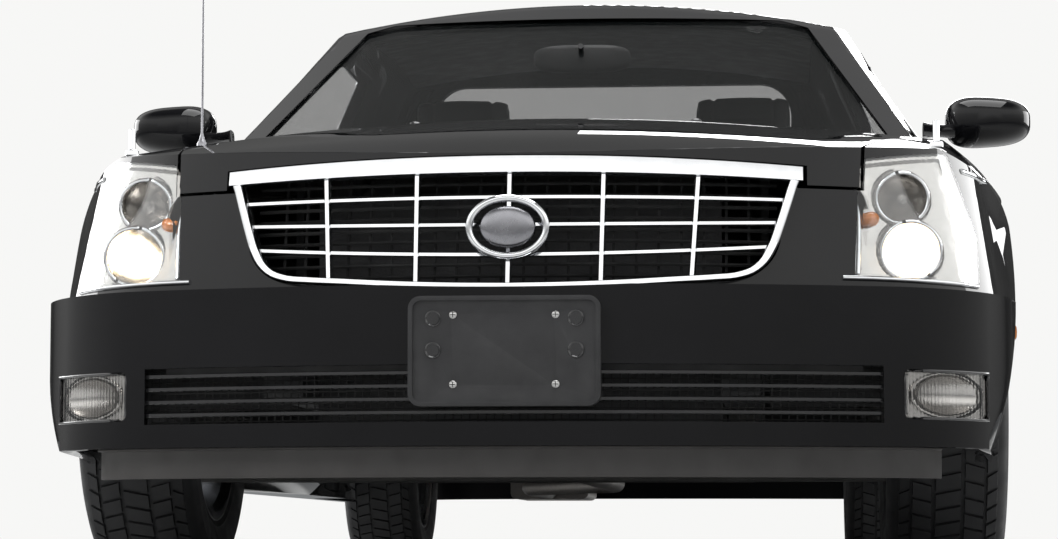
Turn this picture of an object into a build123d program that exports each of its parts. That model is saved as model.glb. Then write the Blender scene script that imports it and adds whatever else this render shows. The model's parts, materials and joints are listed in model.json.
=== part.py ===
"""Flower car: a two-door funeral flower car with an open stainless flower bed.

Millimetres. X points to the car's left, Y to its tail and Z up. The origin is on
the ground under the middle of the car. A station s is measured back from the nose.
"""

from build123d import *
from collections import namedtuple
from math import cos, degrees, hypot, pi, radians, sin, sqrt
import os

os.makedirs("parts", exist_ok=True)

# Driving dimensions of the whole car
LENGTH = 6100.0
WHEELBASE = 3680.0
FRONT_OVERHANG = 1010.0
TRACK = 1593.0
MIRROR_SPAN = 2120.0

# Licence plate bracket, which stands ahead of the nose
PLATE_DEPTH = 18.0
BRACKET_WIDTH = 334.0
BRACKET_LOW = 307.0
BRACKET_HIGH = 498.0
PLATE_HOLES_X = 178.0
PLATE_HOLES_Z = 120.65
PLATE_HOLES_MID_Z = 405.0
PLATE_HOLE_RADIUS = 3.5

TAIL = LENGTH - PLATE_DEPTH
REAR_AXLE = FRONT_OVERHANG + WHEELBASE

# Panels and their gaps
SKIN = 30.0
SHUT_GAP = 7.0
BUMPER_TOP = 520.0
FASCIA_TOP = 703.0
UNDERSIDE = 100.0
OVERHEAD = 1120.0
WIDE = 1000.0

# Wheels and tyres
TYRE_RADIUS = 352.0
TYRE_WIDTH = 235.0
RIM_RADIUS = 222.0
RIM_WIDTH = 200.0
RIM_WALL = 16.0
RIM_FLANGE = 6.0
RIM_FLANGE_RADIUS = 236.0
BEAD_RADIUS = 240.0
SPINDLE_RADIUS = 20.0
RUNNING_CLEARANCE = 0.05
SEAT_CLEARANCE = 0.3
DISC_RADIUS = 150.0
DISC_BACK = -48.0
DISC_FRONT = -24.0
SPOKES = 7
WHEEL_X = TRACK / 2

# Wheel openings in the skin and the deeper wells behind them
ARCH_RADIUS = 385.0
WELL_RADIUS = 425.0
LINER_WALL = 5.0
FRONT_WELL_X = 455.0
REAR_WELL_X = 640.0

# Steering axis, leaning in towards its top
KINGPIN_LOW_X = 700.0
KINGPIN_LOW_Z = 215.0
KINGPIN_HIGH_X = 560.0
KINGPIN_HIGH_Z = 850.0

# Doors: the hinge line stands inboard of the skin and ahead of the shut line
DOOR_FRONT = 1650.0
DOOR_REAR = 2950.0
DOOR_INNER_X = 775.0
DOOR_BOTTOM = 300.0
HINGE_X = 888.0
HINGE_LEAD = 75.0
HALF_WIDTH = 951.5
HINGE_HEIGHTS = (430.0, 710.0)
HINGE_PIN_RADIUS = 6.0
HINGE_EYE_RADIUS = 11.0
HINGE_EYE_HEIGHT = 24.0
HINGE_EAR_HEIGHT = 8.0
STRAP_HALF_WIDTH = 6.0
STRAP_ELBOW_X = HINGE_X - 71.0
STRAP_ELBOW_S = 1617.0
STRAP_END = 1680.0
HINGE_S = DOOR_FRONT - HINGE_LEAD
DOOR_FRONT_SWEEP = hypot(HALF_WIDTH - HINGE_X, HINGE_LEAD)
DOOR_REAR_SWEEP = hypot(HALF_WIDTH - HINGE_X, DOOR_REAR - HINGE_S)

# Hood
HOOD_FRONT_X = 610.0
HOOD_FRONT_S = 180.0
HOOD_REAR_X = 800.0
HOOD_REAR = 1380.0
HOOD_GAP = 6.0
HOOD_HINGE_S = 1400.0
HOOD_HINGE_Z = 940.0
HOOD_HINGE_X = 700.0
HOOD_ARM_HALF = 14.0
HOOD_EAR_WALL = 7.0
HOOD_PIN_RADIUS = 5.0
GRILLE_NOTCH_X = 525.0
FASCIA_HALF_WIDTH = 606.0

# Cab
BELT_Z = 960.0
FRAME_WALL = 35.0
COWL_DROP = 45.0
GLASS_SET_IN = 10.0
GLASS_WALL = 6.0
WINDOW_SILL_Z = 1002.0
FIREWALL_S = 1485.0
BULKHEAD_S = 3440.0
BULKHEAD_WALL = 30.0
FLOOR_Z = 250.0
FLOOR_WALL = 25.0

# Flower bed
BED_FLOOR_Z = 745.0
BED_WALL = 15.0
BED_HALF_WIDTH = 690.0
BED_TOP_Z = 972.0

# Tailgate: hinged along its lower edge
TAILGATE_HALF_WIDTH = 640.0
TAILGATE_HINGE_Z = 545.0
TAILGATE_HINGE_LIFT = 8.0
TAILGATE_DEPTH = 62.0
TAILGATE_HINGE_X = 430.0
TAILGATE_EYE_RADIUS = 10.0
TAILGATE_PIN_RADIUS = 5.0
TAIL_SET_BACK = 45.0
TAILGATE_HINGE_S = TAIL - TAIL_SET_BACK + 2.0

# Body cross-sections. Each side is an arc from the sill through the widest point to
# the crease and a second arc, of the given bulge, up to the edge of the top.
Section = namedtuple(
    "Section", "s sill_x sill_z side_x side_z crease_x crease_z edge_x edge_z bulge crown_z"
)
SECTIONS = [
    Section(-60, 800, 240, 860, 440, 850, 600, 705, 700, 14, 708),
    Section(100, 825, 240, 876, 445, 866, 612, 727, 742, 15, 760),
    Section(250, 845, 240, 893, 450, 884, 630, 752, 772, 16, 806),
    Section(520, 868, 235, 914, 460, 906, 655, 782, 816, 20, 866),
    Section(1000, 890, 200, 943, 490, 937, 720, 815, 884, 22, 946),
    Section(1380, 898, 195, 949, 530, 943, 748, 827, 942, 22, 988),
    Section(1660, 900, 195, 950, 570, 944, 760, 830, 966, 22, 1000),
    Section(2400, 902, 195, 950, 590, 945, 768, 833, 982, 22, 1012),
    Section(3470, 902, 195, 950, 590, 945, 775, 833, 985, 22, 1012),
    Section(REAR_AXLE, 900, 195, 950, 590, 944, 775, 830, 980, 22, 1005),
    Section(TAIL - 580, 890, 205, 942, 590, 934, 768, 818, 966, 20, 988),
    Section(TAIL + 60, 850, 230, 905, 590, 898, 752, 775, 938, 18, 958),
]

# Plan outlines at a height: the nose arc ends at (turn_x, turn_s), and a corner arc
# runs on through (corner_x, corner_s) to (side_x, side_s), after which the sections rule.
Plan = namedtuple("Plan", "z nose_s turn_x turn_s corner_x corner_s side_x side_s")
BUMPER_PLAN = Plan(BUMPER_TOP, 0, 690, 125, 838, 262, 905, 450)
LOW_PLAN = Plan(BUMPER_TOP, 58, 640, 185, 797, 318, 888, 525)
HIGH_PLAN = Plan(OVERHEAD, 192, 564, 339, 713, 498, 816, 755)
TAIL_BUMPER_PLAN = Plan(BUMPER_TOP, 0, 700, 62, 846, 170, 905, 380)
TAIL_LOW_PLAN = Plan(BUMPER_TOP, TAIL_SET_BACK, 690, 75, 832, 185, 890, 400)
TAIL_HIGH_PLAN = Plan(OVERHEAD, TAIL_SET_BACK + 20, 675, 97, 805, 212, 858, 430)

# Greenhouse plan outlines at two heights, from which the pillars are straight lines.
Cab = namedtuple("Cab", "z screen_s pillar_x pillar_s side_x rear_side_x rear_s")
CAB_BASE = Cab(960, 1470, 792, 1665, 815, 815, 3480)
CAB_TOP = Cab(1372, 2215, 596, 2318, 637, 640, 3450)
CAB_FRONT_RADIUS = 45.0
SCREEN_RAKE = 2.0
SIDE_RAKE = 1.09
CAB_REAR_RADIUS = 95.0

# Roof arcs: height at the side rail, 720 from the centre line, and at the centre
Roof = namedtuple("Roof", "s rail_z crown_z")
ROOF_HALF_WIDTH = 720.0
ROOFS = [
    Roof(1800, 1200, 1290),
    Roof(2230, 1310, 1400),
    Roof(2500, 1352, 1440),
    Roof(2860, 1374, 1462),
    Roof(3160, 1376, 1464),
    Roof(3560, 1358, 1448),
]


def at(s):
    """Y of a station s behind the nose."""
    return s - LENGTH / 2 + PLATE_DEPTH


def blend(low, high, z, name):
    """One value of two table rows, taken at height z on the straight line through them."""
    share = (z - low.z) / (high.z - low.z)
    return getattr(low, name) + share * (getattr(high, name) - getattr(low, name))


def plan_at(low, high, z):
    return Plan(z, *(blend(low, high, z, name) for name in Plan._fields[1:]))


def drawn_in(plan, inset):
    """The outline moved in by inset, square to its own arcs."""
    return Plan(
        plan.z,
        plan.nose_s + inset,
        plan.turn_x - 0.33 * inset,
        plan.turn_s + 0.94 * inset,
        plan.corner_x - 0.83 * inset,
        plan.corner_s + 0.55 * inset,
        plan.side_x - inset,
        plan.side_s,
    )


def arc_drop(x, half_width, rise):
    """How far a circle arc of the given half width and rise has fallen at x."""
    radius = (half_width ** 2 + rise ** 2) / (2 * rise)
    return radius - sqrt(radius ** 2 - x ** 2)


def crown_height(s, x):
    """Height of the top surface of the lower body."""
    before = max((row for row in SECTIONS if row.s <= s), key=lambda row: row.s)
    after = min((row for row in SECTIONS if row.s > s), key=lambda row: row.s)
    share = (s - before.s) / (after.s - before.s)
    heights = [row.crown_z - arc_drop(x, row.edge_x, row.crown_z - row.edge_z) for row in (before, after)]
    return heights[0] + share * (heights[1] - heights[0])


def screen_station(x, z):
    """Station of the outer face of the windscreen."""
    half = blend(CAB_BASE, CAB_TOP, z, "pillar_x")
    middle = blend(CAB_BASE, CAB_TOP, z, "screen_s")
    return middle + arc_drop(x, half, blend(CAB_BASE, CAB_TOP, z, "pillar_s") - middle)


def block(x0, x1, s0, s1, z0, z1):
    """A plain box between two X, two stations and two heights."""
    with BuildPart(mode=Mode.PRIVATE) as solid:
        with BuildSketch(Plane.XY.offset(z0)):
            with Locations(((x0 + x1) / 2, (at(s0) + at(s1)) / 2)):
                Rectangle(x1 - x0, s1 - s0)
        extrude(amount=z1 - z0)
    return solid.part


def side_prism(points, x0, x1):
    """A side-view outline of (s, z) points, carried across from x0 to x1."""
    with BuildPart(mode=Mode.PRIVATE) as solid:
        with BuildSketch(Plane.YZ.offset(x0)):
            with BuildLine():
                Polyline(*[(at(s), z) for s, z in points], close=True)
            make_face()
        extrude(amount=x1 - x0)
    return solid.part


def front_prism(points, s0, s1, corner=0.0):
    """A front-view outline of (x, z) points, carried back from s0 to s1."""
    with BuildPart(mode=Mode.PRIVATE) as solid:
        with BuildSketch(Plane.XZ.offset(-at(s0))) as outline:
            with BuildLine():
                Polyline(*points, close=True)
            make_face()
            if corner:
                fillet(outline.vertices(), corner)
        extrude(amount=-(s1 - s0))
    return solid.part


def plan_prism(points, z0, z1):
    """A plan outline of (x, s) points, carried up from z0 to z1."""
    with BuildPart(mode=Mode.PRIVATE) as solid:
        with BuildSketch(Plane.XY.offset(z0)):
            with BuildLine():
                Polyline(*[(x, at(s)) for x, s in points], close=True)
            make_face()
        extrude(amount=z1 - z0)
    return solid.part


def upright(x, s, radius, z0, z1):
    """A vertical cylinder."""
    with BuildPart(mode=Mode.PRIVATE) as solid:
        with BuildSketch(Plane.XY.offset(z0)):
            with Locations((x, at(s))):
                Circle(radius)
        extrude(amount=z1 - z0)
    return solid.part


def cross_bar(s, z, radius, x0, x1):
    """A cylinder that runs across the car."""
    with BuildPart(mode=Mode.PRIVATE) as solid:
        with BuildSketch(Plane.YZ.offset(x0)):
            with Locations((at(s), z)):
                Circle(radius)
        extrude(amount=x1 - x0)
    return solid.part


def mirrored(solid):
    return mirror(solid, about=Plane.YZ)


def both(solid):
    return [solid, mirrored(solid)]


def body_loft(inset):
    """The lower body along its sections, its sides and top drawn in by inset."""
    with BuildPart(mode=Mode.PRIVATE) as body:
        for row in SECTIONS:
            crease = Vector(row.crease_x - inset, row.crease_z)
            edge = Vector(row.edge_x - inset, row.edge_z - inset / 2)
            run = edge - crease
            out = Vector(run.Y, -run.X).normalized() * row.bulge
            shoulder = (crease + edge) * 0.5 + out
            with BuildSketch(Plane.XZ.offset(-at(row.s))):
                with BuildLine():
                    ThreePointArc((row.sill_x - inset, row.sill_z), (row.side_x - inset, row.side_z), crease)
                    ThreePointArc(crease, shoulder, edge)
                    mirror(about=Plane.YZ)
                    ThreePointArc((edge.X, edge.Y), (0, row.crown_z - inset), (-edge.X, edge.Y))
                    Line((row.sill_x - inset, row.sill_z), (-row.sill_x + inset, row.sill_z))
                make_face()
        loft(ruled=True)
    return body.part


def plan_outline(front, tail, inset):
    """Closed outline in plan: nose, corners, long sides, tail corners and tail."""
    front = drawn_in(front, inset)
    tail = drawn_in(tail, inset)
    ThreePointArc((-front.turn_x, at(front.turn_s)), (0, at(front.nose_s)), (front.turn_x, at(front.turn_s)))
    ThreePointArc(
        (-tail.turn_x, at(TAIL - tail.turn_s)),
        (0, at(TAIL - tail.nose_s)),
        (tail.turn_x, at(TAIL - tail.turn_s)),
    )
    for side in (1, -1):
        ThreePointArc(
            (side * front.turn_x, at(front.turn_s)),
            (side * front.corner_x, at(front.corner_s)),
            (side * front.side_x, at(front.side_s)),
        )
        Polyline(
            (side * front.side_x, at(front.side_s)),
            (side * WIDE, at(front.side_s + 400)),
            (side * WIDE, at(TAIL - tail.side_s - 400)),
            (side * tail.side_x, at(TAIL - tail.side_s)),
        )
        ThreePointArc(
            (side * tail.side_x, at(TAIL - tail.side_s)),
            (side * tail.corner_x, at(TAIL - tail.corner_s)),
            (side * tail.turn_x, at(TAIL - tail.turn_s)),
        )


def plan_solid(inset):
    """What the body may fill in plan: bumpers below, and set back above their top."""
    step = BUMPER_TOP - inset
    with BuildPart(mode=Mode.PRIVATE) as solid:
        with BuildSketch(Plane.XY.offset(UNDERSIDE)):
            with BuildLine():
                plan_outline(BUMPER_PLAN, TAIL_BUMPER_PLAN, inset)
            make_face()
        extrude(amount=step - UNDERSIDE)
    with BuildPart(mode=Mode.PRIVATE) as upper:
        for z in (step, OVERHEAD):
            with BuildSketch(Plane.XY.offset(z)):
                with BuildLine():
                    front = plan_at(LOW_PLAN, HIGH_PLAN, z)
                    plan_outline(front, plan_at(TAIL_LOW_PLAN, TAIL_HIGH_PLAN, z), inset)
                make_face()
        loft(ruled=True)
    return solid.part + upper.part


def body_solid(inset):
    return body_loft(inset) & plan_solid(inset)


def cab_outline(z, inset):
    """Plan outline of the greenhouse at height z, drawn in square to its raked walls."""
    row = Cab(z, *(blend(CAB_BASE, CAB_TOP, z, name) for name in Cab._fields[1:]))
    row = Cab(
        z,
        row.screen_s + SCREEN_RAKE * inset,
        row.pillar_x - SIDE_RAKE * inset,
        row.pillar_s + SCREEN_RAKE * inset / 2,
        row.side_x - SIDE_RAKE * inset,
        row.rear_side_x - SIDE_RAKE * inset,
        row.rear_s - inset,
    )
    with BuildSketch(Plane.XY.offset(z)) as outline:
        with BuildLine():
            ThreePointArc(
                (-row.pillar_x, at(row.pillar_s)), (0, at(row.screen_s)), (row.pillar_x, at(row.pillar_s))
            )
            Polyline(
                (row.pillar_x, at(row.pillar_s)),
                (row.side_x, at(row.pillar_s + 110)),
                (row.rear_side_x, at(row.rear_s)),
                (-row.rear_side_x, at(row.rear_s)),
                (-row.side_x, at(row.pillar_s + 110)),
                (-row.pillar_x, at(row.pillar_s)),
            )
        make_face()
        fillet(outline.vertices().group_by(Axis.Y)[-1], CAB_REAR_RADIUS)
        fillet(outline.vertices().group_by(Axis.Y)[0], CAB_FRONT_RADIUS)
    return outline.sketch


def cab_solid(inset):
    """The greenhouse and roof, drawn in by inset."""
    with BuildPart(mode=Mode.PRIVATE) as cab:
        for z in (CAB_BASE.z - 60, OVERHEAD + 380):
            add(cab_outline(z, inset))
        loft(ruled=True)
    with BuildPart(mode=Mode.PRIVATE) as dome:
        for row in ROOFS:
            with BuildSketch(Plane.XZ.offset(-at(row.s))):
                with BuildLine():
                    ThreePointArc(
                        (ROOF_HALF_WIDTH, row.rail_z - inset),
                        (0, row.crown_z - inset),
                        (-ROOF_HALF_WIDTH, row.rail_z - inset),
                    )
                    Polyline(
                        (-ROOF_HALF_WIDTH, row.rail_z - inset),
                        (-ROOF_HALF_WIDTH, CAB_BASE.z + 100),
                        (ROOF_HALF_WIDTH, CAB_BASE.z + 100),
                        (ROOF_HALF_WIDTH, row.rail_z - inset),
                    )
                make_face()
        loft(ruled=True)
    lower = block(-WIDE, WIDE, CAB_BASE.screen_s - 200, TAIL, CAB_BASE.z - 60, CAB_BASE.z + 200)
    return cab.part & (dome.part + lower)


OUTER = body_solid(0)
INNER = body_solid(SKIN)
BODY_SKIN = OUTER - INNER
CAB_OUTER = cab_solid(0)
CAB_SKIN = CAB_OUTER - cab_solid(FRAME_WALL)
GLASS_SKIN = cab_solid(GLASS_SET_IN) - cab_solid(GLASS_SET_IN + GLASS_WALL)


def lowered(solid, drop):
    return solid.moved(Location((0, 0, -drop)))


# Outlines that neighbouring panels share
HOOD_PLAN = [
    (-HOOD_FRONT_X, -100), (HOOD_FRONT_X, -100), (HOOD_FRONT_X, HOOD_FRONT_S), (HOOD_REAR_X, HOOD_REAR),
    (-HOOD_REAR_X, HOOD_REAR), (-HOOD_FRONT_X, HOOD_FRONT_S),
]
HOOD_OPENING = [
    (-HOOD_FRONT_X - HOOD_GAP, -100), (HOOD_FRONT_X + HOOD_GAP, -100),
    (HOOD_FRONT_X + HOOD_GAP, HOOD_FRONT_S), (HOOD_REAR_X + HOOD_GAP, HOOD_REAR),
    (HOOD_REAR_X + HOOD_GAP, DOOR_FRONT), (-HOOD_REAR_X - HOOD_GAP, DOOR_FRONT),
    (-HOOD_REAR_X - HOOD_GAP, HOOD_REAR), (-HOOD_FRONT_X - HOOD_GAP, HOOD_FRONT_S),
]
COWL_PLAN = [
    (-HOOD_REAR_X - HOOD_GAP, HOOD_REAR + HOOD_GAP), (HOOD_REAR_X + HOOD_GAP, HOOD_REAR + HOOD_GAP),
    (HOOD_REAR_X + HOOD_GAP, DOOR_FRONT - SHUT_GAP), (DOOR_INNER_X - SHUT_GAP, DOOR_FRONT - SHUT_GAP),
    (DOOR_INNER_X - SHUT_GAP, DOOR_FRONT + 70), (SHUT_GAP - DOOR_INNER_X, DOOR_FRONT + 70),
    (SHUT_GAP - DOOR_INNER_X, DOOR_FRONT - SHUT_GAP), (-HOOD_REAR_X - HOOD_GAP, DOOR_FRONT - SHUT_GAP),
]
DOOR_OUTLINE = [
    (DOOR_FRONT, DOOR_BOTTOM), (DOOR_FRONT, 940), (1738, 985), (2362, 1312), (2565, 1350), (3020, 1360),
    (3020, DOOR_BOTTOM),
]
DOOR_OPENING = [
    (DOOR_FRONT - SHUT_GAP, DOOR_BOTTOM - SHUT_GAP), (DOOR_FRONT - SHUT_GAP, 943), (1731, 990),
    (2357, 1318), (2563, 1357), (3020, 1367), (3020, DOOR_BOTTOM - SHUT_GAP),
]
DOOR_WINDOW = [(1832, WINDOW_SILL_Z), (2395, 1277), (2580, 1311), (2885, 1318), (2902, WINDOW_SILL_Z)]
SCREEN_OPENING = [(-757, 930), (757, 930), (548, 1338), (480, 1360), (-480, 1360), (-548, 1338)]
REAR_WINDOW_OPENING = [(-510, 1080), (510, 1080), (510, 1375), (-510, 1375)]
REAR_WINDOW_CORNER = 90.0
LAMP_OUTLINE = [(608, 540), (842, 540), (842, 640), (786, 794), (618, 762)]
LAMP_CORNER = 12.0
LAMP_END = 560.0
FOG_OUTLINE = [(690, 288), (848, 288), (848, 376), (690, 376)]
FOG_CORNER = 15.0
FOG_END = 460.0
TAIL_LAMP_X = BED_HALF_WIDTH + BED_WALL + 5
TAIL_LAMP_OUTLINE = [(TAIL_LAMP_X, 600), (930, 600), (930, 870), (790, 915), (TAIL_LAMP_X, 915)]
INTAKE_HALF_WIDTH = 655.0
INTAKE_LOW = 281.0
INTAKE_HIGH = 381.0

# Half outlines of the grille in front view: the top arc's middle and end, the foot of the
# straight side, the corner arc's middle and end, and the bottom arc's middle
GrilleEdge = namedtuple("GrilleEdge", "top_z end_x end_z foot_x foot_z corner_x corner_z turn_x turn_z low_z")
GRILLE_OUTER = GrilleEdge(754.5, 519, 740, 478, 612, 447, 553, 390, 531, 515)
GRILLE_INNER = GrilleEdge(727, 498, 722, 464, 612, 436, 562, 386, 539.5, 523.5)
GRILLE_RISE = 5.5
HOOD_NOTCH_HALF = 20.0
GRILLE_FRONT = 28.0
GRILLE_BACK = -20.0

# Level bars: height at the middle, height at the end and x of the end
LevelBar = namedtuple("LevelBar", "middle_z end_z end_x")
GRILLE_BARS = [LevelBar(681, 680, 490), LevelBar(631, 638, 478), LevelBar(577, 594, 464)]
GRILLE_BAR_HALF = 4.0
GRILLE_POSTS = ((0, 0), (163, 166), (321, 333))
GRILLE_POST_HALF = 5.0
ARCH_TOOL_X = 640.0


def save(piece, label):
    """Label a finished sub-part and write it."""
    piece.label = label
    export_step(piece, "parts/" + label + ".step")


def arch_tool(axle_s, radius):
    """Both wheel openings of an axle, cut from well inside the skin outwards."""
    return cross_bar(axle_s, TYRE_RADIUS, radius, ARCH_TOOL_X, WIDE) + cross_bar(
        axle_s, TYRE_RADIUS, radius, -WIDE, -ARCH_TOOL_X
    )


def door_sweep(side, radius):
    """What lies within a radius of a door's hinge line."""
    return upright(side * HINGE_X, HINGE_S, radius, UNDERSIDE, 1500)


def nose_band(front, back, z0, z1):
    """A curved wall that leans with the upper nose, between two distances ahead of it."""
    with BuildPart(mode=Mode.PRIVATE) as band:
        for z in (z0, z1):
            row = plan_at(LOW_PLAN, HIGH_PLAN, z)
            with BuildSketch(Plane.XY.offset(z)):
                with BuildLine():
                    for ahead in (front, back):
                        ThreePointArc(
                            (-row.turn_x, at(row.turn_s - ahead)),
                            (0, at(row.nose_s - ahead)),
                            (row.turn_x, at(row.turn_s - ahead)),
                        )
                    for end in (-row.turn_x, row.turn_x):
                        Line((end, at(row.turn_s - front)), (end, at(row.turn_s - back)))
                make_face()
        loft(ruled=True)
    return band.part


def grille_space(edge):
    """What lies behind a grille outline."""
    with BuildPart(mode=Mode.PRIVATE) as space:
        with BuildSketch(Plane.XZ.offset(-at(-50))):
            with BuildLine():
                ThreePointArc((-edge.end_x, edge.end_z), (0, edge.top_z), (edge.end_x, edge.end_z))
                ThreePointArc((-edge.turn_x, edge.turn_z), (0, edge.low_z), (edge.turn_x, edge.turn_z))
                for side in (1, -1):
                    foot = (side * edge.foot_x, edge.foot_z)
                    Line((side * edge.end_x, edge.end_z), foot)
                    ThreePointArc(
                        foot, (side * edge.corner_x, edge.corner_z), (side * edge.turn_x, edge.turn_z)
                    )
            make_face()
        extrude(amount=-380)
    return space.part


def bowed_strip(bar, half_height, s0, s1):
    """A strip across the nose whose edges bow from its middle to its ends."""
    with BuildPart(mode=Mode.PRIVATE) as strip:
        with BuildSketch(Plane.XZ.offset(-at(s0))):
            with BuildLine():
                for rise in (-half_height, half_height):
                    end_z = bar.end_z + rise
                    ThreePointArc((-bar.end_x, end_z), (0, bar.middle_z + rise), (bar.end_x, end_z))
                for end in (-bar.end_x, bar.end_x):
                    Line((end, bar.end_z - half_height), (end, bar.end_z + half_height))
            make_face()
        extrude(amount=-(s1 - s0))
    return strip.part


def nose_station(x, z):
    """Station of the upper nose's outer face."""
    row = plan_at(LOW_PLAN, HIGH_PLAN, z)
    return row.nose_s + arc_drop(x, row.turn_x, row.turn_s - row.nose_s)


def nose_post(bottom, top, half_width, front, back):
    """A straight bar up the nose between two (x, z) points."""
    edges = []
    for x, z in (bottom, top):
        s = nose_station(x, z)
        left, right = x - half_width, x + half_width
        edges.append([(left, s - front), (right, s - front), (right, s - back), (left, s - back)])
    with BuildPart(mode=Mode.PRIVATE) as post:
        for corners, z in zip(edges, (bottom[1], top[1])):
            with BuildSketch(Plane.XY.offset(z)):
                with BuildLine():
                    Polyline(*[(x, at(s)) for x, s in corners], close=True)
                make_face()
        loft(ruled=True)
    return post.part


def bumper_band(outside, inside, z0, z1):
    """A wall parallel to the front bumper, between two insets."""
    walls = []
    for inset in (outside, inside):
        with BuildPart(mode=Mode.PRIVATE) as wall:
            with BuildSketch(Plane.XY.offset(z0)):
                with BuildLine():
                    plan_outline(BUMPER_PLAN, TAIL_BUMPER_PLAN, inset)
                make_face()
            extrude(amount=z1 - z0)
        walls.append(wall.part)
    return walls[0] - walls[1]


def kingpin_x(z):
    """X of the left steering axis at height z."""
    share = (z - KINGPIN_LOW_Z) / (KINGPIN_HIGH_Z - KINGPIN_LOW_Z)
    return KINGPIN_LOW_X + share * (KINGPIN_HIGH_X - KINGPIN_LOW_X)


def kingpin_rod(radius, z0, z1):
    """A round bar along the left steering axis between two heights."""
    rise = Vector(kingpin_x(z1) - kingpin_x(z0), 0, z1 - z0)
    start = Plane(origin=(kingpin_x(z0), at(FRONT_OVERHANG), z0), z_dir=rise)
    with BuildPart(mode=Mode.PRIVATE) as rod:
        with BuildSketch(start):
            Circle(radius)
        extrude(amount=rise.length)
    return rod.part


def plate_holes(radius):
    """The four screw holes, through the licence bracket and the bumper behind it."""
    with BuildPart(mode=Mode.PRIVATE) as holes:
        with BuildSketch(Plane.XZ.offset(-at(-PLATE_DEPTH))):
            with Locations((0, PLATE_HOLES_MID_Z)):
                with GridLocations(PLATE_HOLES_X, PLATE_HOLES_Z, 2, 2):
                    Circle(radius)
        extrude(amount=-(PLATE_DEPTH + 2 * SKIN))
    return holes.part


# Body panels
with BuildPart() as hood:
    add(BODY_SKIN)
    add(plan_prism(HOOD_PLAN, FASCIA_TOP + HOOD_GAP, OVERHEAD), mode=Mode.INTERSECT)
    notch = block(-GRILLE_NOTCH_X, GRILLE_NOTCH_X, -100, 300, FASCIA_TOP, GRILLE_OUTER.end_z)
    drop = HOOD_NOTCH_HALF - GRILLE_RISE
    lip = LevelBar(GRILLE_OUTER.top_z - drop, GRILLE_OUTER.end_z - drop, GRILLE_NOTCH_X)
    add(notch + bowed_strip(lip, HOOD_NOTCH_HALF, -100, 300), mode=Mode.SUBTRACT)
    for side in (1, -1):
        middle = side * HOOD_HINGE_X
        near, far = middle - HOOD_ARM_HALF, middle + HOOD_ARM_HALF
        arm = [
            (HOOD_HINGE_S - 110, HOOD_HINGE_Z - 45), (HOOD_HINGE_S, HOOD_HINGE_Z - 9),
            (HOOD_HINGE_S, HOOD_HINGE_Z + 9), (HOOD_HINGE_S - 110, HOOD_HINGE_Z - 10),
        ]
        add(side_prism(arm, near, far))
        add(cross_bar(HOOD_HINGE_S, HOOD_HINGE_Z, 9, near, far))
        bore_radius = HOOD_PIN_RADIUS + RUNNING_CLEARANCE
        add(cross_bar(HOOD_HINGE_S, HOOD_HINGE_Z, bore_radius, near - 26, far + 26), mode=Mode.SUBTRACT)
save(hood.part, "hood")

LAMP_TOOL = front_prism(LAMP_OUTLINE, -50, LAMP_END, LAMP_CORNER)
FOG_TOOL = front_prism(FOG_OUTLINE, -50, FOG_END, FOG_CORNER)
TAIL_LAMP_TOOL = front_prism(TAIL_LAMP_OUTLINE, TAIL - 420, TAIL + 50)

with BuildPart() as front_fender:
    add(BODY_SKIN)
    add(block(FASCIA_HALF_WIDTH, WIDE, 0, DOOR_FRONT - SHUT_GAP, 190, OVERHEAD), mode=Mode.INTERSECT)
    add(block(600, WIDE + 10, -50, FRONT_OVERHANG, UNDERSIDE, BUMPER_TOP), mode=Mode.SUBTRACT)
    add(plan_prism(HOOD_OPENING, FASCIA_TOP, OVERHEAD), mode=Mode.SUBTRACT)
    add(LAMP_TOOL, mode=Mode.SUBTRACT)
    add(cross_bar(FRONT_OVERHANG, TYRE_RADIUS, ARCH_RADIUS, ARCH_TOOL_X, WIDE), mode=Mode.SUBTRACT)

save(Compound(children=both(front_fender.part)), "front_fenders")

BUMPER_END = TAIL - 662.0

with BuildPart() as body_side:
    bed_start = BULKHEAD_S + BULKHEAD_WALL
    corner_x = TAILGATE_HALF_WIDTH + HOOD_GAP
    add(OUTER)
    add(block(DOOR_INNER_X, WIDE, DOOR_FRONT, bed_start, 190, OVERHEAD), mode=Mode.INTERSECT)
    add(side_prism(DOOR_OPENING, 600, WIDE) & door_sweep(1, DOOR_REAR_SWEEP + SHUT_GAP), mode=Mode.SUBTRACT)
    add(BODY_SKIN & block(BED_HALF_WIDTH + BED_WALL, WIDE, bed_start, TAIL, 190, OVERHEAD))
    add(BODY_SKIN & block(corner_x, BED_HALF_WIDTH + 30, TAIL - 180, TAIL, 190, OVERHEAD))
    add(block(600, WIDE, BUMPER_END, TAIL + 10, UNDERSIDE, BUMPER_TOP), mode=Mode.SUBTRACT)
    add(cross_bar(REAR_AXLE, TYRE_RADIUS, ARCH_RADIUS, ARCH_TOOL_X, WIDE), mode=Mode.SUBTRACT)
    add(TAIL_LAMP_TOOL, mode=Mode.SUBTRACT)

save(Compound(children=both(body_side.part)), "body_sides")

GRILLE_TOOL = grille_space(GRILLE_OUTER)

with BuildPart() as front_bumper:
    add(BODY_SKIN)
    zones = block(-WIDE, WIDE, -50, FRONT_OVERHANG, UNDERSIDE, BUMPER_TOP)
    fascia = block(-FASCIA_HALF_WIDTH, FASCIA_HALF_WIDTH, -50, 330, BUMPER_TOP, FASCIA_TOP)
    add(zones + fascia, mode=Mode.INTERSECT)
    add(arch_tool(FRONT_OVERHANG, ARCH_RADIUS), mode=Mode.SUBTRACT)
    add(GRILLE_TOOL, mode=Mode.SUBTRACT)
    add(block(-INTAKE_HALF_WIDTH, INTAKE_HALF_WIDTH, -50, 300, INTAKE_LOW, INTAKE_HIGH), mode=Mode.SUBTRACT)
    for tool in both(FOG_TOOL):
        add(tool, mode=Mode.SUBTRACT)
    add(plate_holes(PLATE_HOLE_RADIUS), mode=Mode.SUBTRACT)
save(front_bumper.part, "front_bumper")

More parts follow.
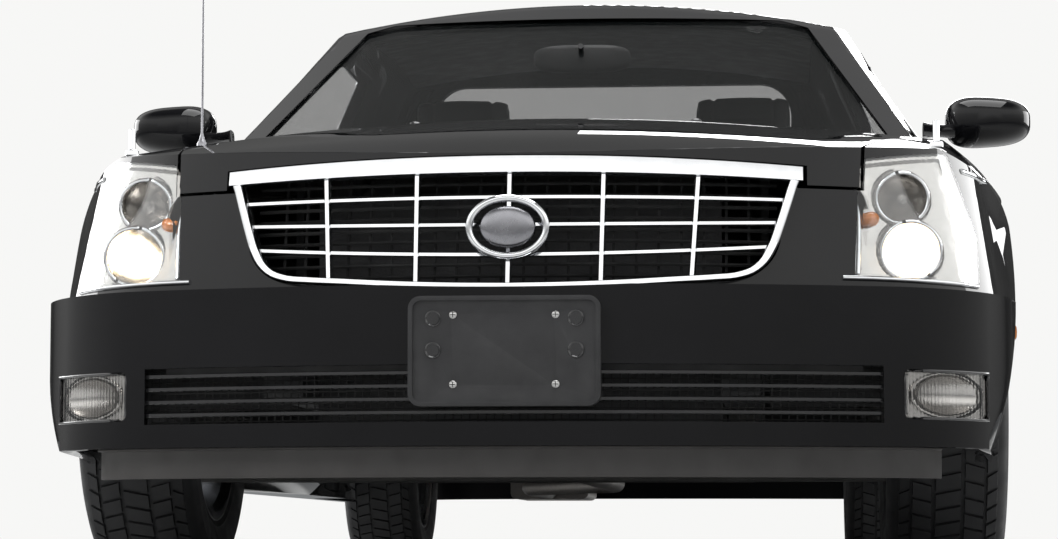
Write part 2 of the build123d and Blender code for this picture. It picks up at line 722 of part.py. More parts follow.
with BuildPart() as rear_bumper:
    add(BODY_SKIN)
    add(block(-WIDE, WIDE, BUMPER_END, TAIL + 10, UNDERSIDE, BUMPER_TOP), mode=Mode.INTERSECT)
save(rear_bumper.part, "rear_bumper")

with BuildPart() as cab_shell:
    add(CAB_SKIN)
    add(front_prism(SCREEN_OPENING, 1330, 2262), mode=Mode.SUBTRACT)
    cowl = lowered(OUTER, COWL_DROP) - lowered(OUTER, COWL_DROP + SKIN)
    add(cowl & plan_prism(COWL_PLAN, 700, OVERHEAD))
    for side in (1, -1):
        opening = side_prism(DOOR_OPENING, 300, WIDE) & door_sweep(1, DOOR_REAR_SWEEP + SHUT_GAP)
        add(opening if side == 1 else mirrored(opening), mode=Mode.SUBTRACT)
        middle = side * HOOD_HINGE_X
        ear = [
            (HOOD_HINGE_S - 8, HOOD_HINGE_Z - 45), (HOOD_HINGE_S + 16, HOOD_HINGE_Z - 45),
            (HOOD_HINGE_S + 9, HOOD_HINGE_Z + 9), (HOOD_HINGE_S - 7, HOOD_HINGE_Z + 9),
        ]
        reach = HOOD_ARM_HALF + 1
        for near in (middle - reach - HOOD_EAR_WALL, middle + reach):
            add(side_prism(ear, near, near + HOOD_EAR_WALL))
        span = reach + HOOD_EAR_WALL
        add(cross_bar(HOOD_HINGE_S, HOOD_HINGE_Z, HOOD_PIN_RADIUS, middle - span, middle + span))
    add(front_prism(REAR_WINDOW_OPENING, 3300, 3560, REAR_WINDOW_CORNER), mode=Mode.SUBTRACT)
    for panel in both(body_side.part):
        add(panel, mode=Mode.SUBTRACT)
save(cab_shell.part, "cab_shell")

with BuildPart() as door_left:
    add(OUTER & block(DOOR_INNER_X, WIDE, DOOR_FRONT, 3020, 190, OVERHEAD))
    add(CAB_SKIN & block(300, WIDE, DOOR_FRONT, 3020, BELT_Z, 1500))
    add(side_prism(DOOR_OUTLINE, 300, WIDE), mode=Mode.INTERSECT)
    add(door_sweep(1, DOOR_REAR_SWEEP), mode=Mode.INTERSECT)
    add(door_sweep(1, DOOR_FRONT_SWEEP), mode=Mode.SUBTRACT)
    add(side_prism(DOOR_WINDOW, 300, WIDE), mode=Mode.SUBTRACT)
    for height in HINGE_HEIGHTS:
        low = height - HINGE_EYE_HEIGHT / 2
        strap = [
            (HINGE_X, HINGE_S + STRAP_HALF_WIDTH), (HINGE_X, HINGE_S - STRAP_HALF_WIDTH),
            (STRAP_ELBOW_X - STRAP_HALF_WIDTH, STRAP_ELBOW_S - STRAP_HALF_WIDTH),
            (STRAP_ELBOW_X - STRAP_HALF_WIDTH, STRAP_END), (STRAP_ELBOW_X + STRAP_HALF_WIDTH, STRAP_END),
            (STRAP_ELBOW_X + STRAP_HALF_WIDTH, STRAP_ELBOW_S + STRAP_HALF_WIDTH / 2),
        ]
        add(plan_prism(strap, low, low + HINGE_EYE_HEIGHT))
        add(upright(HINGE_X, HINGE_S, HINGE_EYE_RADIUS, low, low + HINGE_EYE_HEIGHT))
        bore_radius = HINGE_PIN_RADIUS + RUNNING_CLEARANCE
        add(upright(HINGE_X, HINGE_S, bore_radius, low - 5, low + HINGE_EYE_HEIGHT + 5), mode=Mode.SUBTRACT)

with BuildPart() as door_glass_left:
    add(GLASS_SKIN)
    add(side_prism(DOOR_WINDOW, 300, WIDE), mode=Mode.INTERSECT)

MIRROR_FRONT = 1800.0
MIRROR_REAR = 1900.0

with BuildPart() as mirror_left:
    tip = MIRROR_SPAN / 2
    housing = [
        (tip - 198, 1004), (tip - 184, 984), (tip - 48, 982), (tip - 16, 995), (tip, 1026), (tip, 1068),
        (tip - 14, 1096), (tip - 46, 1110), (tip - 160, 1112), (tip - 190, 1100), (tip - 198, 1076),
    ]
    add(front_prism(housing, MIRROR_FRONT, MIRROR_REAR))
    chamfer(mirror_left.faces().sort_by(Axis.Y)[0].edges(), 34, 20)
    chamfer(mirror_left.faces().sort_by(Axis.Y)[-1].edges(), 5)
    recess = [
        (tip - 180, 1000), (tip - 46, 998), (tip - 16, 1030),
        (tip - 16, 1066), (tip - 46, 1094), (tip - 180, 1096),
    ]
    add(front_prism(recess, MIRROR_REAR - 8, MIRROR_REAR + 10), mode=Mode.SUBTRACT)
    add(plan_prism([(780, 1745), (780, 1815), (885, 1880), (885, 1825)], 1004, 1034))
    add(CAB_OUTER, mode=Mode.SUBTRACT)
    add(OUTER, mode=Mode.SUBTRACT)

for side, end in ((1, "left"), (-1, "right")):
    for name, piece in (("door", door_left), ("door_glass", door_glass_left), ("mirror", mirror_left)):
        save(piece.part if side == 1 else mirrored(piece.part), name + "_" + end)

with BuildPart() as windscreen:
    add(GLASS_SKIN)
    add(front_prism(SCREEN_OPENING, 1330, 2262), mode=Mode.INTERSECT)
    add(lowered(OUTER, COWL_DROP - SEAT_CLEARANCE), mode=Mode.SUBTRACT)

with BuildPart() as rear_window:
    add(GLASS_SKIN)
    add(front_prism(REAR_WINDOW_OPENING, 3300, 3560, REAR_WINDOW_CORNER), mode=Mode.INTERSECT)
save(Compound(children=[windscreen.part, rear_window.part]), "fixed_glass")

# Nose fittings
with BuildPart() as grille:
    surround = nose_band(GRILLE_FRONT, GRILLE_BACK, GRILLE_OUTER.low_z - 5, GRILLE_OUTER.top_z + 5)
    add(surround & GRILLE_TOOL)
    add(grille_space(GRILLE_INNER), mode=Mode.SUBTRACT)
    for bar in GRILLE_BARS:
        heights = (bar.middle_z, bar.end_z)
        level = nose_band(12, -10, min(heights) - GRILLE_BAR_HALF, max(heights) + GRILLE_BAR_HALF)
        add(level & bowed_strip(bar, GRILLE_BAR_HALF, -50, 330))
    for low_x, high_x in GRILLE_POSTS:
        for side in (1, -1) if low_x else (1,):
            rise = GRILLE_INNER.turn_z - GRILLE_INNER.low_z
            foot_z = GRILLE_INNER.low_z + arc_drop(low_x, GRILLE_INNER.turn_x, rise) - 3
            add(nose_post((side * low_x, foot_z), (side * high_x, 728), GRILLE_POST_HALF, 18, -12))
    with BuildSketch(Plane.XZ.offset(-at(34))):
        with Locations((0, 618)):
            Ellipse(78, 58)
    extrude(amount=-66)
save(grille.part, "grille")

LENS_WALL = 6.0

with BuildPart() as headlamp_housings:
    grown = [(600, 532), (850, 532), (850, 644), (792, 802), (610, 770)]
    add((INNER - body_solid(SKIN + 85)) & front_prism(grown, -50, LAMP_END))
    for x, z, radius in ((698, 696, 46), (714, 597, 55)):
        with BuildSketch(Plane.XZ.offset(-at(0))):
            with Locations((x, z)):
                Circle(radius)
        extrude(amount=-430, mode=Mode.SUBTRACT)
        add(block(x - radius - 4, x + radius + 4, 420, 440, z - radius - 4, z + radius + 4) & INNER)
    lamp_space = block(FASCIA_HALF_WIDTH, WIDE, 0, LAMP_END, BUMPER_TOP, OVERHEAD)
    add(lamp_space, mode=Mode.INTERSECT)
    add(plan_prism(HOOD_OPENING, FASCIA_TOP, OVERHEAD), mode=Mode.SUBTRACT)
save(Compound(children=both(headlamp_housings.part)), "headlamp_housings")

with BuildPart() as headlamp_lenses:
    add(OUTER - body_solid(LENS_WALL))
    add(LAMP_TOOL, mode=Mode.INTERSECT)
    add(plan_prism(HOOD_OPENING, FASCIA_TOP, OVERHEAD), mode=Mode.SUBTRACT)
save(Compound(children=both(headlamp_lenses.part)), "headlamp_lenses")

with BuildPart() as fog_lamps:
    add(BODY_SKIN & FOG_TOOL)
save(Compound(children=both(fog_lamps.part)), "fog_lamps")

with BuildPart() as tail_lamps:
    add(BODY_SKIN & TAIL_LAMP_TOOL)
save(Compound(children=both(tail_lamps.part)), "tail_lamps")

with BuildPart() as lower_grille:
    for height in (298, 321, 344, 367):
        bar = bumper_band(8, 20, height - 4, height + 4)
        add(bar & block(-INTAKE_HALF_WIDTH, INTAKE_HALF_WIDTH, -50, 300, INTAKE_LOW, INTAKE_HIGH))
save(lower_grille.part, "lower_grille")

DAM_HALF_WIDTH = 760.0
DAM_INSET = 48.0
DAM_WALL = 12.0
DAM_LOW = 186.0
DAM_TOP = 250.0

with BuildPart() as air_dam:
    dam_space = block(-DAM_HALF_WIDTH, DAM_HALF_WIDTH, -50, 560, UNDERSIDE, 300)
    add(bumper_band(DAM_INSET, DAM_INSET + DAM_WALL, DAM_LOW, DAM_TOP) & dam_space)
    add(bumper_band(SKIN - 5, DAM_INSET + DAM_WALL, DAM_TOP - 14, DAM_TOP) & dam_space)
    add(OUTER, mode=Mode.SUBTRACT)
save(air_dam.part, "air_dam")

with BuildPart() as plate_bracket:
    with BuildSketch(Plane.XZ.offset(-at(-PLATE_DEPTH))):
        with Locations((0, (BRACKET_LOW + BRACKET_HIGH) / 2)):
            RectangleRounded(BRACKET_WIDTH, BRACKET_HIGH - BRACKET_LOW, 22)
    extrude(amount=-(PLATE_DEPTH + 14))
    with BuildSketch(Plane.XZ.offset(-at(-PLATE_DEPTH))):
        with Locations((0, (BRACKET_LOW + BRACKET_HIGH) / 2)):
            RectangleRounded(BRACKET_WIDTH - 16, BRACKET_HIGH - BRACKET_LOW - 16, 15)
    extrude(amount=-6, mode=Mode.SUBTRACT)
    add(plate_holes(PLATE_HOLE_RADIUS), mode=Mode.SUBTRACT)
    add(OUTER, mode=Mode.SUBTRACT)
save(plate_bracket.part, "plate_bracket")

FLAG_X = 772.0
FLAG_S = 527.0
FLAG_BORE = 4.0
FLAG_HEIGHT = 50.0
FLAG_DEPTH = 40.0
FLAG_FOOT = crown_height(FLAG_S, FLAG_X)

with BuildPart() as flag_sockets:
    add(upright(FLAG_X, FLAG_S, 6.5, FLAG_FOOT - 6, FLAG_FOOT + FLAG_HEIGHT))
    add(upright(FLAG_X, FLAG_S, 13, FLAG_FOOT - 6, FLAG_FOOT + 7))
    bore = upright(FLAG_X, FLAG_S, FLAG_BORE, FLAG_FOOT + FLAG_HEIGHT - FLAG_DEPTH, FLAG_FOOT + FLAG_HEIGHT)
    add(bore, mode=Mode.SUBTRACT)
    add(OUTER, mode=Mode.SUBTRACT)
save(Compound(children=both(flag_sockets.part)), "flag_sockets")

ANTENNA_X = -815.0
ANTENNA_S = 1460.0
ANTENNA_HEIGHT = 790.0
ANTENNA_FOOT = crown_height(ANTENNA_S, -ANTENNA_X)

with BuildPart() as antenna:
    add(upright(ANTENNA_X, ANTENNA_S, 12, ANTENNA_FOOT - 8, ANTENNA_FOOT + 14))
    add(upright(ANTENNA_X, ANTENNA_S, 2.6, ANTENNA_FOOT, ANTENNA_FOOT + ANTENNA_HEIGHT))
    add(upright(ANTENNA_X, ANTENNA_S, 5, ANTENNA_FOOT + ANTENNA_HEIGHT - 6, ANTENNA_FOOT + ANTENNA_HEIGHT))
    add(OUTER, mode=Mode.SUBTRACT)
save(antenna.part, "antenna")

WIPER_RADIUS = 5.0
WIPER_S = 1425.0

with BuildPart() as wipers:
    for pivot_x in (520, -60):
        foot_z = crown_height(WIPER_S, abs(pivot_x)) - COWL_DROP
        add(upright(pivot_x, WIPER_S, 13, foot_z - 10, foot_z + 22))
        add(lowered(OUTER, COWL_DROP), mode=Mode.SUBTRACT)
    for pivot_x, tip_x in ((520, -20), (-60, -600)):
        foot_z = crown_height(WIPER_S, abs(pivot_x)) - COWL_DROP
        middle_x = (pivot_x + tip_x) / 2
        path = [(pivot_x, at(WIPER_S), foot_z + 14)]
        for x, z in ((middle_x, 984), (tip_x, 988)):
            path.append((x, at(screen_station(x, z)) - 9, z))
        with BuildLine() as arm:
            Polyline(*path)
        with BuildSketch(Plane(origin=path[0], z_dir=Vector(*path[1]) - Vector(*path[0]))):
            Circle(WIPER_RADIUS)
        sweep(path=arm.line, transition=Transition.RIGHT)
save(wipers.part, "wipers")

# Structure under the body
RAIL_IN = 370.0
RAIL_OUT = 440.0
REAR_RAIL_IN = 440.0
REAR_RAIL_OUT = 500.0
REAR_RAIL_LOW = 600.0
RAIL_LOW = 330.0
BEAM_LOW = 372.0
BEAM_TOP = 452.0
PANEL_END = TAIL - 142.0
TOWER_Z = 785.0
FIREWALL_WALL = 15.0
TUNNEL_TOP = 370.0
SILL_IN = 700.0
SILL_TOP = 340.0
PILLAR_OUT = 860.0
PILLAR_S = 1500.0
ARM_S = 4140.0
BED_BEARERS = (3560, 4380, 5060, 5700)


def flanks(x0, x1, s0, s1, z0, z1):
    """A block on each side of the car."""
    return [block(x0, x1, s0, s1, z0, z1), block(-x1, -x0, s0, s1, z0, z1)]


with BuildPart() as cab_floor:
    cab_end = BULKHEAD_S + BULKHEAD_WALL
    under_cowl = lowered(OUTER, COWL_DROP + SKIN)
    add(block(-DOOR_INNER_X, DOOR_INNER_X, FIREWALL_S, cab_end, FLOOR_Z, FLOOR_Z + FLOOR_WALL))
    wall_top = CAB_BASE.z - 60
    firewall_end = FIREWALL_S + FIREWALL_WALL
    add(block(-DOOR_INNER_X, DOOR_INNER_X, FIREWALL_S, firewall_end, FLOOR_Z, wall_top) & under_cowl)
    add(block(-DOOR_INNER_X, DOOR_INNER_X, BULKHEAD_S, cab_end, FLOOR_Z, wall_top))
    tunnel = [(-140, FLOOR_Z), (-105, TUNNEL_TOP), (105, TUNNEL_TOP), (140, FLOOR_Z)]
    add(front_prism(tunnel, FIREWALL_S, cab_end))
    hollow = [(-112, FLOOR_Z - 5), (-84, TUNNEL_TOP - 25), (84, TUNNEL_TOP - 25), (112, FLOOR_Z - 5)]
    add(front_prism(hollow, FIREWALL_S - 5, cab_end + 5), mode=Mode.SUBTRACT)
    for sill in flanks(SILL_IN, DOOR_INNER_X, FIREWALL_S, cab_end, FLOOR_Z, SILL_TOP):
        add(sill)
    for pillar in flanks(SILL_IN, PILLAR_OUT, PILLAR_S, PILLAR_S + 60, FLOOR_Z, 960):
        add(pillar & under_cowl)
    for height in HINGE_HEIGHTS:
        pin_half = HINGE_EYE_HEIGHT / 2 + 1 + HINGE_EAR_HEIGHT
        for low in (height - pin_half, height + pin_half - HINGE_EAR_HEIGHT):
            leaf = [(840, 1545), (884, 1566), (892, 1584), (840, 1575)]
            for ear in both(plan_prism(leaf, low, low + HINGE_EAR_HEIGHT)):
                add(ear)
            for eye in both(upright(HINGE_X, HINGE_S, 10, low, low + HINGE_EAR_HEIGHT)):
                add(eye)
        for pin in both(upright(HINGE_X, HINGE_S, HINGE_PIN_RADIUS, height - pin_half, height + pin_half)):
            add(pin)
save(cab_floor.part, "cab_floor")

with BuildPart() as front_frame:
    add(block(-620, 620, -20, 182, BEAM_LOW, BEAM_TOP) & INNER)
    for rail in flanks(RAIL_IN, RAIL_OUT, 110, FIREWALL_S, RAIL_LOW, RAIL_LOW + 100):
        add(rail)
    for apron in flanks(RAIL_OUT, FRONT_WELL_X, 560, FIREWALL_S, RAIL_LOW + 70, 870):
        add(apron & lowered(INNER, HOOD_GAP))
    for tower in flanks(RAIL_OUT, 650, FRONT_OVERHANG - 80, FRONT_OVERHANG + 80, TOWER_Z, TOWER_Z + 65):
        add(tower)
save(front_frame.part, "front_frame")

with BuildPart() as rear_frame:
    for rail in flanks(REAR_RAIL_IN, REAR_RAIL_OUT, cab_end, PANEL_END, REAR_RAIL_LOW, BED_FLOOR_Z):
        add(rail)
    for bracket in flanks(REAR_RAIL_IN, REAR_RAIL_OUT + 40, ARM_S - 60, ARM_S, 300, REAR_RAIL_LOW):
        add(bracket)
    for s in BED_BEARERS:
        add(block(-REAR_RAIL_IN, REAR_RAIL_IN, s, s + 60, REAR_RAIL_LOW + 60, BED_FLOOR_Z))
    add(block(-REAR_RAIL_IN, REAR_RAIL_IN, 3700, 3760, 560, REAR_RAIL_LOW + 30))
    add(block(-REAR_RAIL_OUT, REAR_RAIL_OUT, 5140, 5200, 400, REAR_RAIL_LOW))
    width = TAILGATE_HALF_WIDTH
    add(block(-width, width, PANEL_END, PANEL_END + 28, BUMPER_TOP, BED_FLOOR_Z))
    add(block(-width, width, PANEL_END, TAIL, BUMPER_TOP, BUMPER_TOP + 10) & OUTER)
    ears = [
        (TAIL - 100, BUMPER_TOP + 5), (TAILGATE_HINGE_S - 4, TAILGATE_HINGE_Z - 8),
        (TAILGATE_HINGE_S, TAILGATE_HINGE_Z), (TAILGATE_HINGE_S - 8, TAILGATE_HINGE_Z + 4),
        (TAIL - 100, BUMPER_TOP + 20),
    ]
    for side in (1, -1):
        middle = side * TAILGATE_HINGE_X
        for near, far in ((-41, -33), (33, 41)):
            add(side_prism(ears, middle + near, middle + far))
            add(cross_bar(TAILGATE_HINGE_S, TAILGATE_HINGE_Z, 8, middle + near, middle + far))
        add(cross_bar(TAILGATE_HINGE_S, TAILGATE_HINGE_Z, TAILGATE_PIN_RADIUS, middle - 41, middle + 41))
save(rear_frame.part, "rear_frame")

with BuildPart() as tailgate:
    tail_plate = block(
        -TAILGATE_HALF_WIDTH, TAILGATE_HALF_WIDTH, TAIL - TAIL_SET_BACK - TAILGATE_DEPTH, TAIL + 50,
        TAILGATE_HINGE_Z + TAILGATE_HINGE_LIFT, OVERHEAD,
    )
    add(OUTER & tail_plate)
    for side in (1, -1):
        middle = side * TAILGATE_HINGE_X
        near, far = middle - 32, middle + 32
        hinge_s, hinge_z = TAILGATE_HINGE_S, TAILGATE_HINGE_Z
        bore_radius = TAILGATE_PIN_RADIUS + RUNNING_CLEARANCE
        add(cross_bar(hinge_s, hinge_z, TAILGATE_EYE_RADIUS, near, far))
        add(block(near, far, hinge_s - 26, hinge_s, hinge_z, hinge_z + 22))
        add(cross_bar(hinge_s, hinge_z, bore_radius, near - 13, far + 13), mode=Mode.SUBTRACT)
save(tailgate.part, "tailgate")

with BuildPart() as bed_liner:
    outer_x = BED_HALF_WIDTH + BED_WALL
    bed_front = CAB_BASE.rear_s + 6
    bed_rear = TAIL - TAIL_SET_BACK - TAILGATE_DEPTH - SHUT_GAP
    add(block(-outer_x, outer_x, bed_front, bed_rear, BED_FLOOR_Z, BED_TOP_Z + 20))
    inside = block(
        -BED_HALF_WIDTH, BED_HALF_WIDTH, bed_front + BED_WALL, bed_rear + 50,
        BED_FLOOR_Z + BED_WALL, BED_TOP_Z + 50,
    )
    add(inside, mode=Mode.SUBTRACT)
    add(lowered(OUTER, 10), mode=Mode.INTERSECT)
    for panel in both(body_side.part):
        add(panel, mode=Mode.SUBTRACT)
save(bed_liner.part, "bed_liner")

STRIP_COUNT = 9
STRIP_WIDTH = 34.0
STRIP_HEIGHT = 12.0

with BuildPart() as flower_deck:
    for index in range(STRIP_COUNT):
        middle = (index - (STRIP_COUNT - 1) / 2) * 150
        top = BED_FLOOR_Z + BED_WALL
        strip = [
            (middle - STRIP_WIDTH / 2, top), (middle - STRIP_WIDTH / 2 + 5, top + STRIP_HEIGHT),
            (middle + STRIP_WIDTH / 2 - 5, top + STRIP_HEIGHT), (middle + STRIP_WIDTH / 2, top),
        ]
        add(front_prism(strip, bed_front + 45, bed_rear - 30))
save(flower_deck.part, "flower_deck")

RAIL_X = 768.0
RAIL_RADIUS = 11.0
RAIL_SIDES = 12
RAIL_LIFT = 46.0
RAIL_POSTS = (3580, 3960, 4340, 4720, 5100, 5480, 5860)

with BuildPart() as bed_rails:
    heights = [crown_height(s, RAIL_X) + RAIL_LIFT for s in RAIL_POSTS]
    rail_points = [(RAIL_X, at(s), height) for s, height in zip(RAIL_POSTS, heights)]
    for start, end in zip(rail_points, rail_points[1:]):
        run = Vector(*end) - Vector(*start)
        with BuildSketch(Plane(origin=start, x_dir=(1, 0, 0), z_dir=run)):
            RegularPolygon(RAIL_RADIUS, RAIL_SIDES)
        extrude(amount=run.length)
    for s, height in zip(RAIL_POSTS, heights):
        foot_z = height - RAIL_LIFT
        for radius, top in ((8, height), (15, foot_z + 6)):
            with BuildSketch(Plane.XY.offset(foot_z - 6)):
                with Locations((RAIL_X, at(s))):
                    RegularPolygon(radius, RAIL_SIDES)
            extrude(amount=top - foot_z + 6)
    add(OUTER, mode=Mode.SUBTRACT)
save(Compound(children=both(bed_rails.part)), "bed_rails")

with BuildPart() as wheel_liners:
    front = cross_bar(FRONT_OVERHANG, TYRE_RADIUS, WELL_RADIUS + LINER_WALL, FRONT_WELL_X, WIDE)
    front -= cross_bar(FRONT_OVERHANG, TYRE_RADIUS, WELL_RADIUS, FRONT_WELL_X - 5, WIDE + 5)
    front -= kingpin_rod(80, 600, 900)
    rear = cross_bar(REAR_AXLE, TYRE_RADIUS, ARCH_RADIUS + LINER_WALL, REAR_WELL_X, WIDE)
    rear -= cross_bar(REAR_AXLE, TYRE_RADIUS, ARCH_RADIUS, REAR_WELL_X + LINER_WALL, WIDE + 5)
    add(front & block(400, WIDE, 0, TAIL, 330, OVERHEAD))
    add(rear & block(400, WIDE, 0, TAIL, 420, OVERHEAD))
    add(INNER, mode=Mode.INTERSECT)
save(Compound(children=both(wheel_liners.part)), "wheel_liners")

# Front suspension, knuckles and wheels
KNUCKLE_LOW = 238.0
KNUCKLE_HIGH = 470.0
KNUCKLE_RADIUS = 28.0
BALL_PIN_RADIUS = 10.0
STRUT_ROD_RADIUS = 14.0
SUBFRAME_TOP = 226.0
STRUT_RADIUS = 25.0
SPRING_RADIUS = 56.0
CARRIER_RADIUS = 50.0
SPINDLE_END = 58.0

with BuildPart() as front_suspension:
    add(block(-420, 420, 900, 1120, 196, SUBFRAME_TOP))
    for side in (1, -1):
        arm = [(side * x, s) for x, s in ((400, 925), (690, 985), (728, 1010), (690, 1035), (400, 1095))]
        add(plan_prism(arm, 196, 214))
        add(block(*sorted((side * RAIL_IN, side * 420)), 940, 1080, SUBFRAME_TOP, 330))
        parts = [
            kingpin_rod(BALL_PIN_RADIUS, 205, KNUCKLE_LOW + 22),
            kingpin_rod(22, 205, KNUCKLE_LOW - 3),
            kingpin_rod(STRUT_ROD_RADIUS, KNUCKLE_HIGH - 34, 510),
            kingpin_rod(STRUT_RADIUS, 500, TOWER_Z + 20),
            kingpin_rod(SPRING_RADIUS + 6, 714, 722),
            kingpin_rod(SPRING_RADIUS, 720, TOWER_Z + 20),
        ]
        for part in parts:
            part = part - block(300, 800, 900, 1100, TOWER_Z, 900)
            add(part if side == 1 else mirrored(part))
save(front_suspension.part, "front_suspension")


def hub_plane(side, axle_s, offset):
    """A plane square to a wheel's axis, offset outwards from the wheel's centre."""
    return Plane(
        origin=(side * (WHEEL_X + offset), at(axle_s), TYRE_RADIUS), x_dir=(0, 1, 0), z_dir=(side, 0, 0)
    )


def hub_disc(side, axle_s, radius, start, end, sides=0):
    """A disc on a wheel's axis between two offsets outwards, round or with a number of sides."""
    with BuildPart(mode=Mode.PRIVATE) as disc:
        with BuildSketch(hub_plane(side, axle_s, start)):
            if sides:
                RegularPolygon(radius, sides, major_radius=False, rotation=180 / sides)
            else:
                Circle(radius)
        extrude(amount=end - start)
    return disc.part


def caliper(side, axle_s):
    """A brake caliper that straddles the disc above and behind the axle."""
    with BuildPart(mode=Mode.PRIVATE) as body:
        add(hub_disc(side, axle_s, 178, -68, -4))
        add(hub_disc(side, axle_s, 96, -70, -2), mode=Mode.SUBTRACT)
        add(hub_disc(side, axle_s, DISC_RADIUS + 7, DISC_BACK - 6, DISC_FRONT + 6), mode=Mode.SUBTRACT)
        add(hub_disc(side, axle_s, 110, -68, -58))
        corners = [
            (axle_s + 20, TYRE_RADIUS + 5), (axle_s + 220, TYRE_RADIUS + 70), (axle_s + 90, TYRE_RADIUS + 230),
        ]
        wedge = side_prism(corners, min(0, side * WIDE), max(0, side * WIDE))
        add(wedge, mode=Mode.INTERSECT)
    return body.part


def carrier(side, axle_s):
    """The hub carrier, its spindle and its caliper."""
    with BuildPart(mode=Mode.PRIVATE) as hub:
        add(hub_disc(side, axle_s, CARRIER_RADIUS, -112, -56))
        add(hub_disc(side, axle_s, SPINDLE_RADIUS, -112, SPINDLE_END))
        add(caliper(side, axle_s))
    return hub.part


with BuildPart() as knuckle_left:
    add(kingpin_rod(KNUCKLE_RADIUS, KNUCKLE_LOW, KNUCKLE_HIGH))
    add(cross_bar(FRONT_OVERHANG, TYRE_RADIUS, CARRIER_RADIUS, kingpin_x(TYRE_RADIUS), WHEEL_X - 56))
    add(carrier(1, FRONT_OVERHANG))
    add(block(640, 690, FRONT_OVERHANG, FRONT_OVERHANG + 130, 330, 355))
    for radius, low, high in (
        (BALL_PIN_RADIUS, KNUCKLE_LOW - 10, KNUCKLE_LOW + 24),
        (STRUT_ROD_RADIUS, KNUCKLE_HIGH - 36, KNUCKLE_HIGH + 20),
    ):
        add(kingpin_rod(radius + RUNNING_CLEARANCE, low, high), mode=Mode.SUBTRACT)
save(knuckle_left.part, "knuckle_left")
save(mirrored(knuckle_left.part), "knuckle_right")

with BuildPart() as rear_suspension:
    add(cross_bar(REAR_AXLE, 312, 32, -WHEEL_X + 80, WHEEL_X - 80))
    for side in (1, -1):
        add(carrier(side, REAR_AXLE))
        add(block(*sorted((side * 505, side * 540)), ARM_S, REAR_AXLE, 300, 332))
        add(upright(side * 470, REAR_AXLE, 48, 312, REAR_RAIL_LOW))
save(rear_suspension.part, "rear_suspension")

# Tyre profile, outwards from the wheel's centre: half widths and radii
TyreRing = namedtuple("TyreRing", "offset radius")
TYRE_PROFILE = [
    TyreRing(RIM_WIDTH / 2, BEAD_RADIUS),
    TyreRing(TYRE_WIDTH / 2, TYRE_RADIUS - 60),
    TyreRing(TYRE_WIDTH / 2 - 14, TYRE_RADIUS - 11),
    TyreRing(TYRE_WIDTH / 2 - 48, TYRE_RADIUS),
]
WHEEL_SIDES = 72


def tyre_loft(rings):
    """A many-sided solid through rings about the left front wheel's axis."""
    with BuildPart(mode=Mode.PRIVATE) as solid:
        for ring in rings:
            with BuildSketch(hub_plane(1, FRONT_OVERHANG, ring.offset)):
                RegularPolygon(ring.radius, WHEEL_SIDES, major_radius=False, rotation=180 / WHEEL_SIDES)
        loft(ruled=True)
    return solid.part


with BuildPart() as tyre_section:
    inboard = [TyreRing(-ring.offset, ring.radius) for ring in TYRE_PROFILE]
    add(tyre_loft(inboard + TYRE_PROFILE[::-1]))
    add(tyre_loft([TyreRing(-RIM_WIDTH, RIM_RADIUS), TyreRing(RIM_WIDTH, RIM_RADIUS)]), mode=Mode.SUBTRACT)

with BuildPart() as rim_left:
    side, axle_s = 1, FRONT_OVERHANG
    barrel = RIM_RADIUS - SEAT_CLEARANCE
    flange = RIM_WIDTH / 2 + SEAT_CLEARANCE
    add(hub_disc(side, axle_s, barrel, -flange - RIM_FLANGE, flange + RIM_FLANGE, WHEEL_SIDES))
    for start, end in ((-flange - RIM_FLANGE, -flange), (flange, flange + RIM_FLANGE)):
        add(hub_disc(side, axle_s, RIM_FLANGE_RADIUS, start, end, WHEEL_SIDES))
    add(hub_disc(side, axle_s, barrel - RIM_WALL, -120, 66, WHEEL_SIDES), mode=Mode.SUBTRACT)
    add(hub_disc(side, axle_s, barrel - RIM_WALL, 88, 120, WHEEL_SIDES), mode=Mode.SUBTRACT)
    for spoke in range(SPOKES):
        turn = 2 * pi * spoke / SPOKES + pi / SPOKES
        with BuildSketch(hub_plane(side, axle_s, 60)):
            with Locations(Location((0, 0), degrees(turn))):
                with BuildLine():
                    Polyline((78, -17), (188, -58), (194, 0), (188, 58), (78, 17), close=True)
                make_face()
        extrude(amount=40, mode=Mode.SUBTRACT)
    add(hub_disc(side, axle_s, 45, DISC_BACK, 92, WHEEL_SIDES // 2))
    add(hub_disc(side, axle_s, DISC_RADIUS, DISC_BACK, DISC_FRONT, WHEEL_SIDES))
    add(hub_disc(side, axle_s, SPINDLE_RADIUS + RUNNING_CLEARANCE, DISC_BACK - 10, 72), mode=Mode.SUBTRACT)

for axle, axle_s in (("front", FRONT_OVERHANG), ("rear", REAR_AXLE)):
    for side, end in ((1, "left"), (-1, "right")):
        for name, piece in (("tyre", tyre_section), ("rim", rim_left)):
            moved = piece.part.moved(Location((0, axle_s - FRONT_OVERHANG, 0)))
            save(moved if side == 1 else mirrored(moved), name + "_" + axle + "_" + end)

# Power unit and services
with BuildPart() as radiator:
    add(block(-RAIL_IN, RAIL_IN, 300, 345, 250, 700))
save(radiator.part, "radiator")

with BuildPart() as engine_block:
    add(block(-360, 360, 640, 1250, SUBFRAME_TOP, 800))
    chamfer(engine_block.edges().filter_by(Axis.Y).group_by(Axis.Z)[-1], 70)
save(engine_block.part, "engine_block")

EXHAUST_Z = 238.0
EXHAUST_RADIUS = 26.0

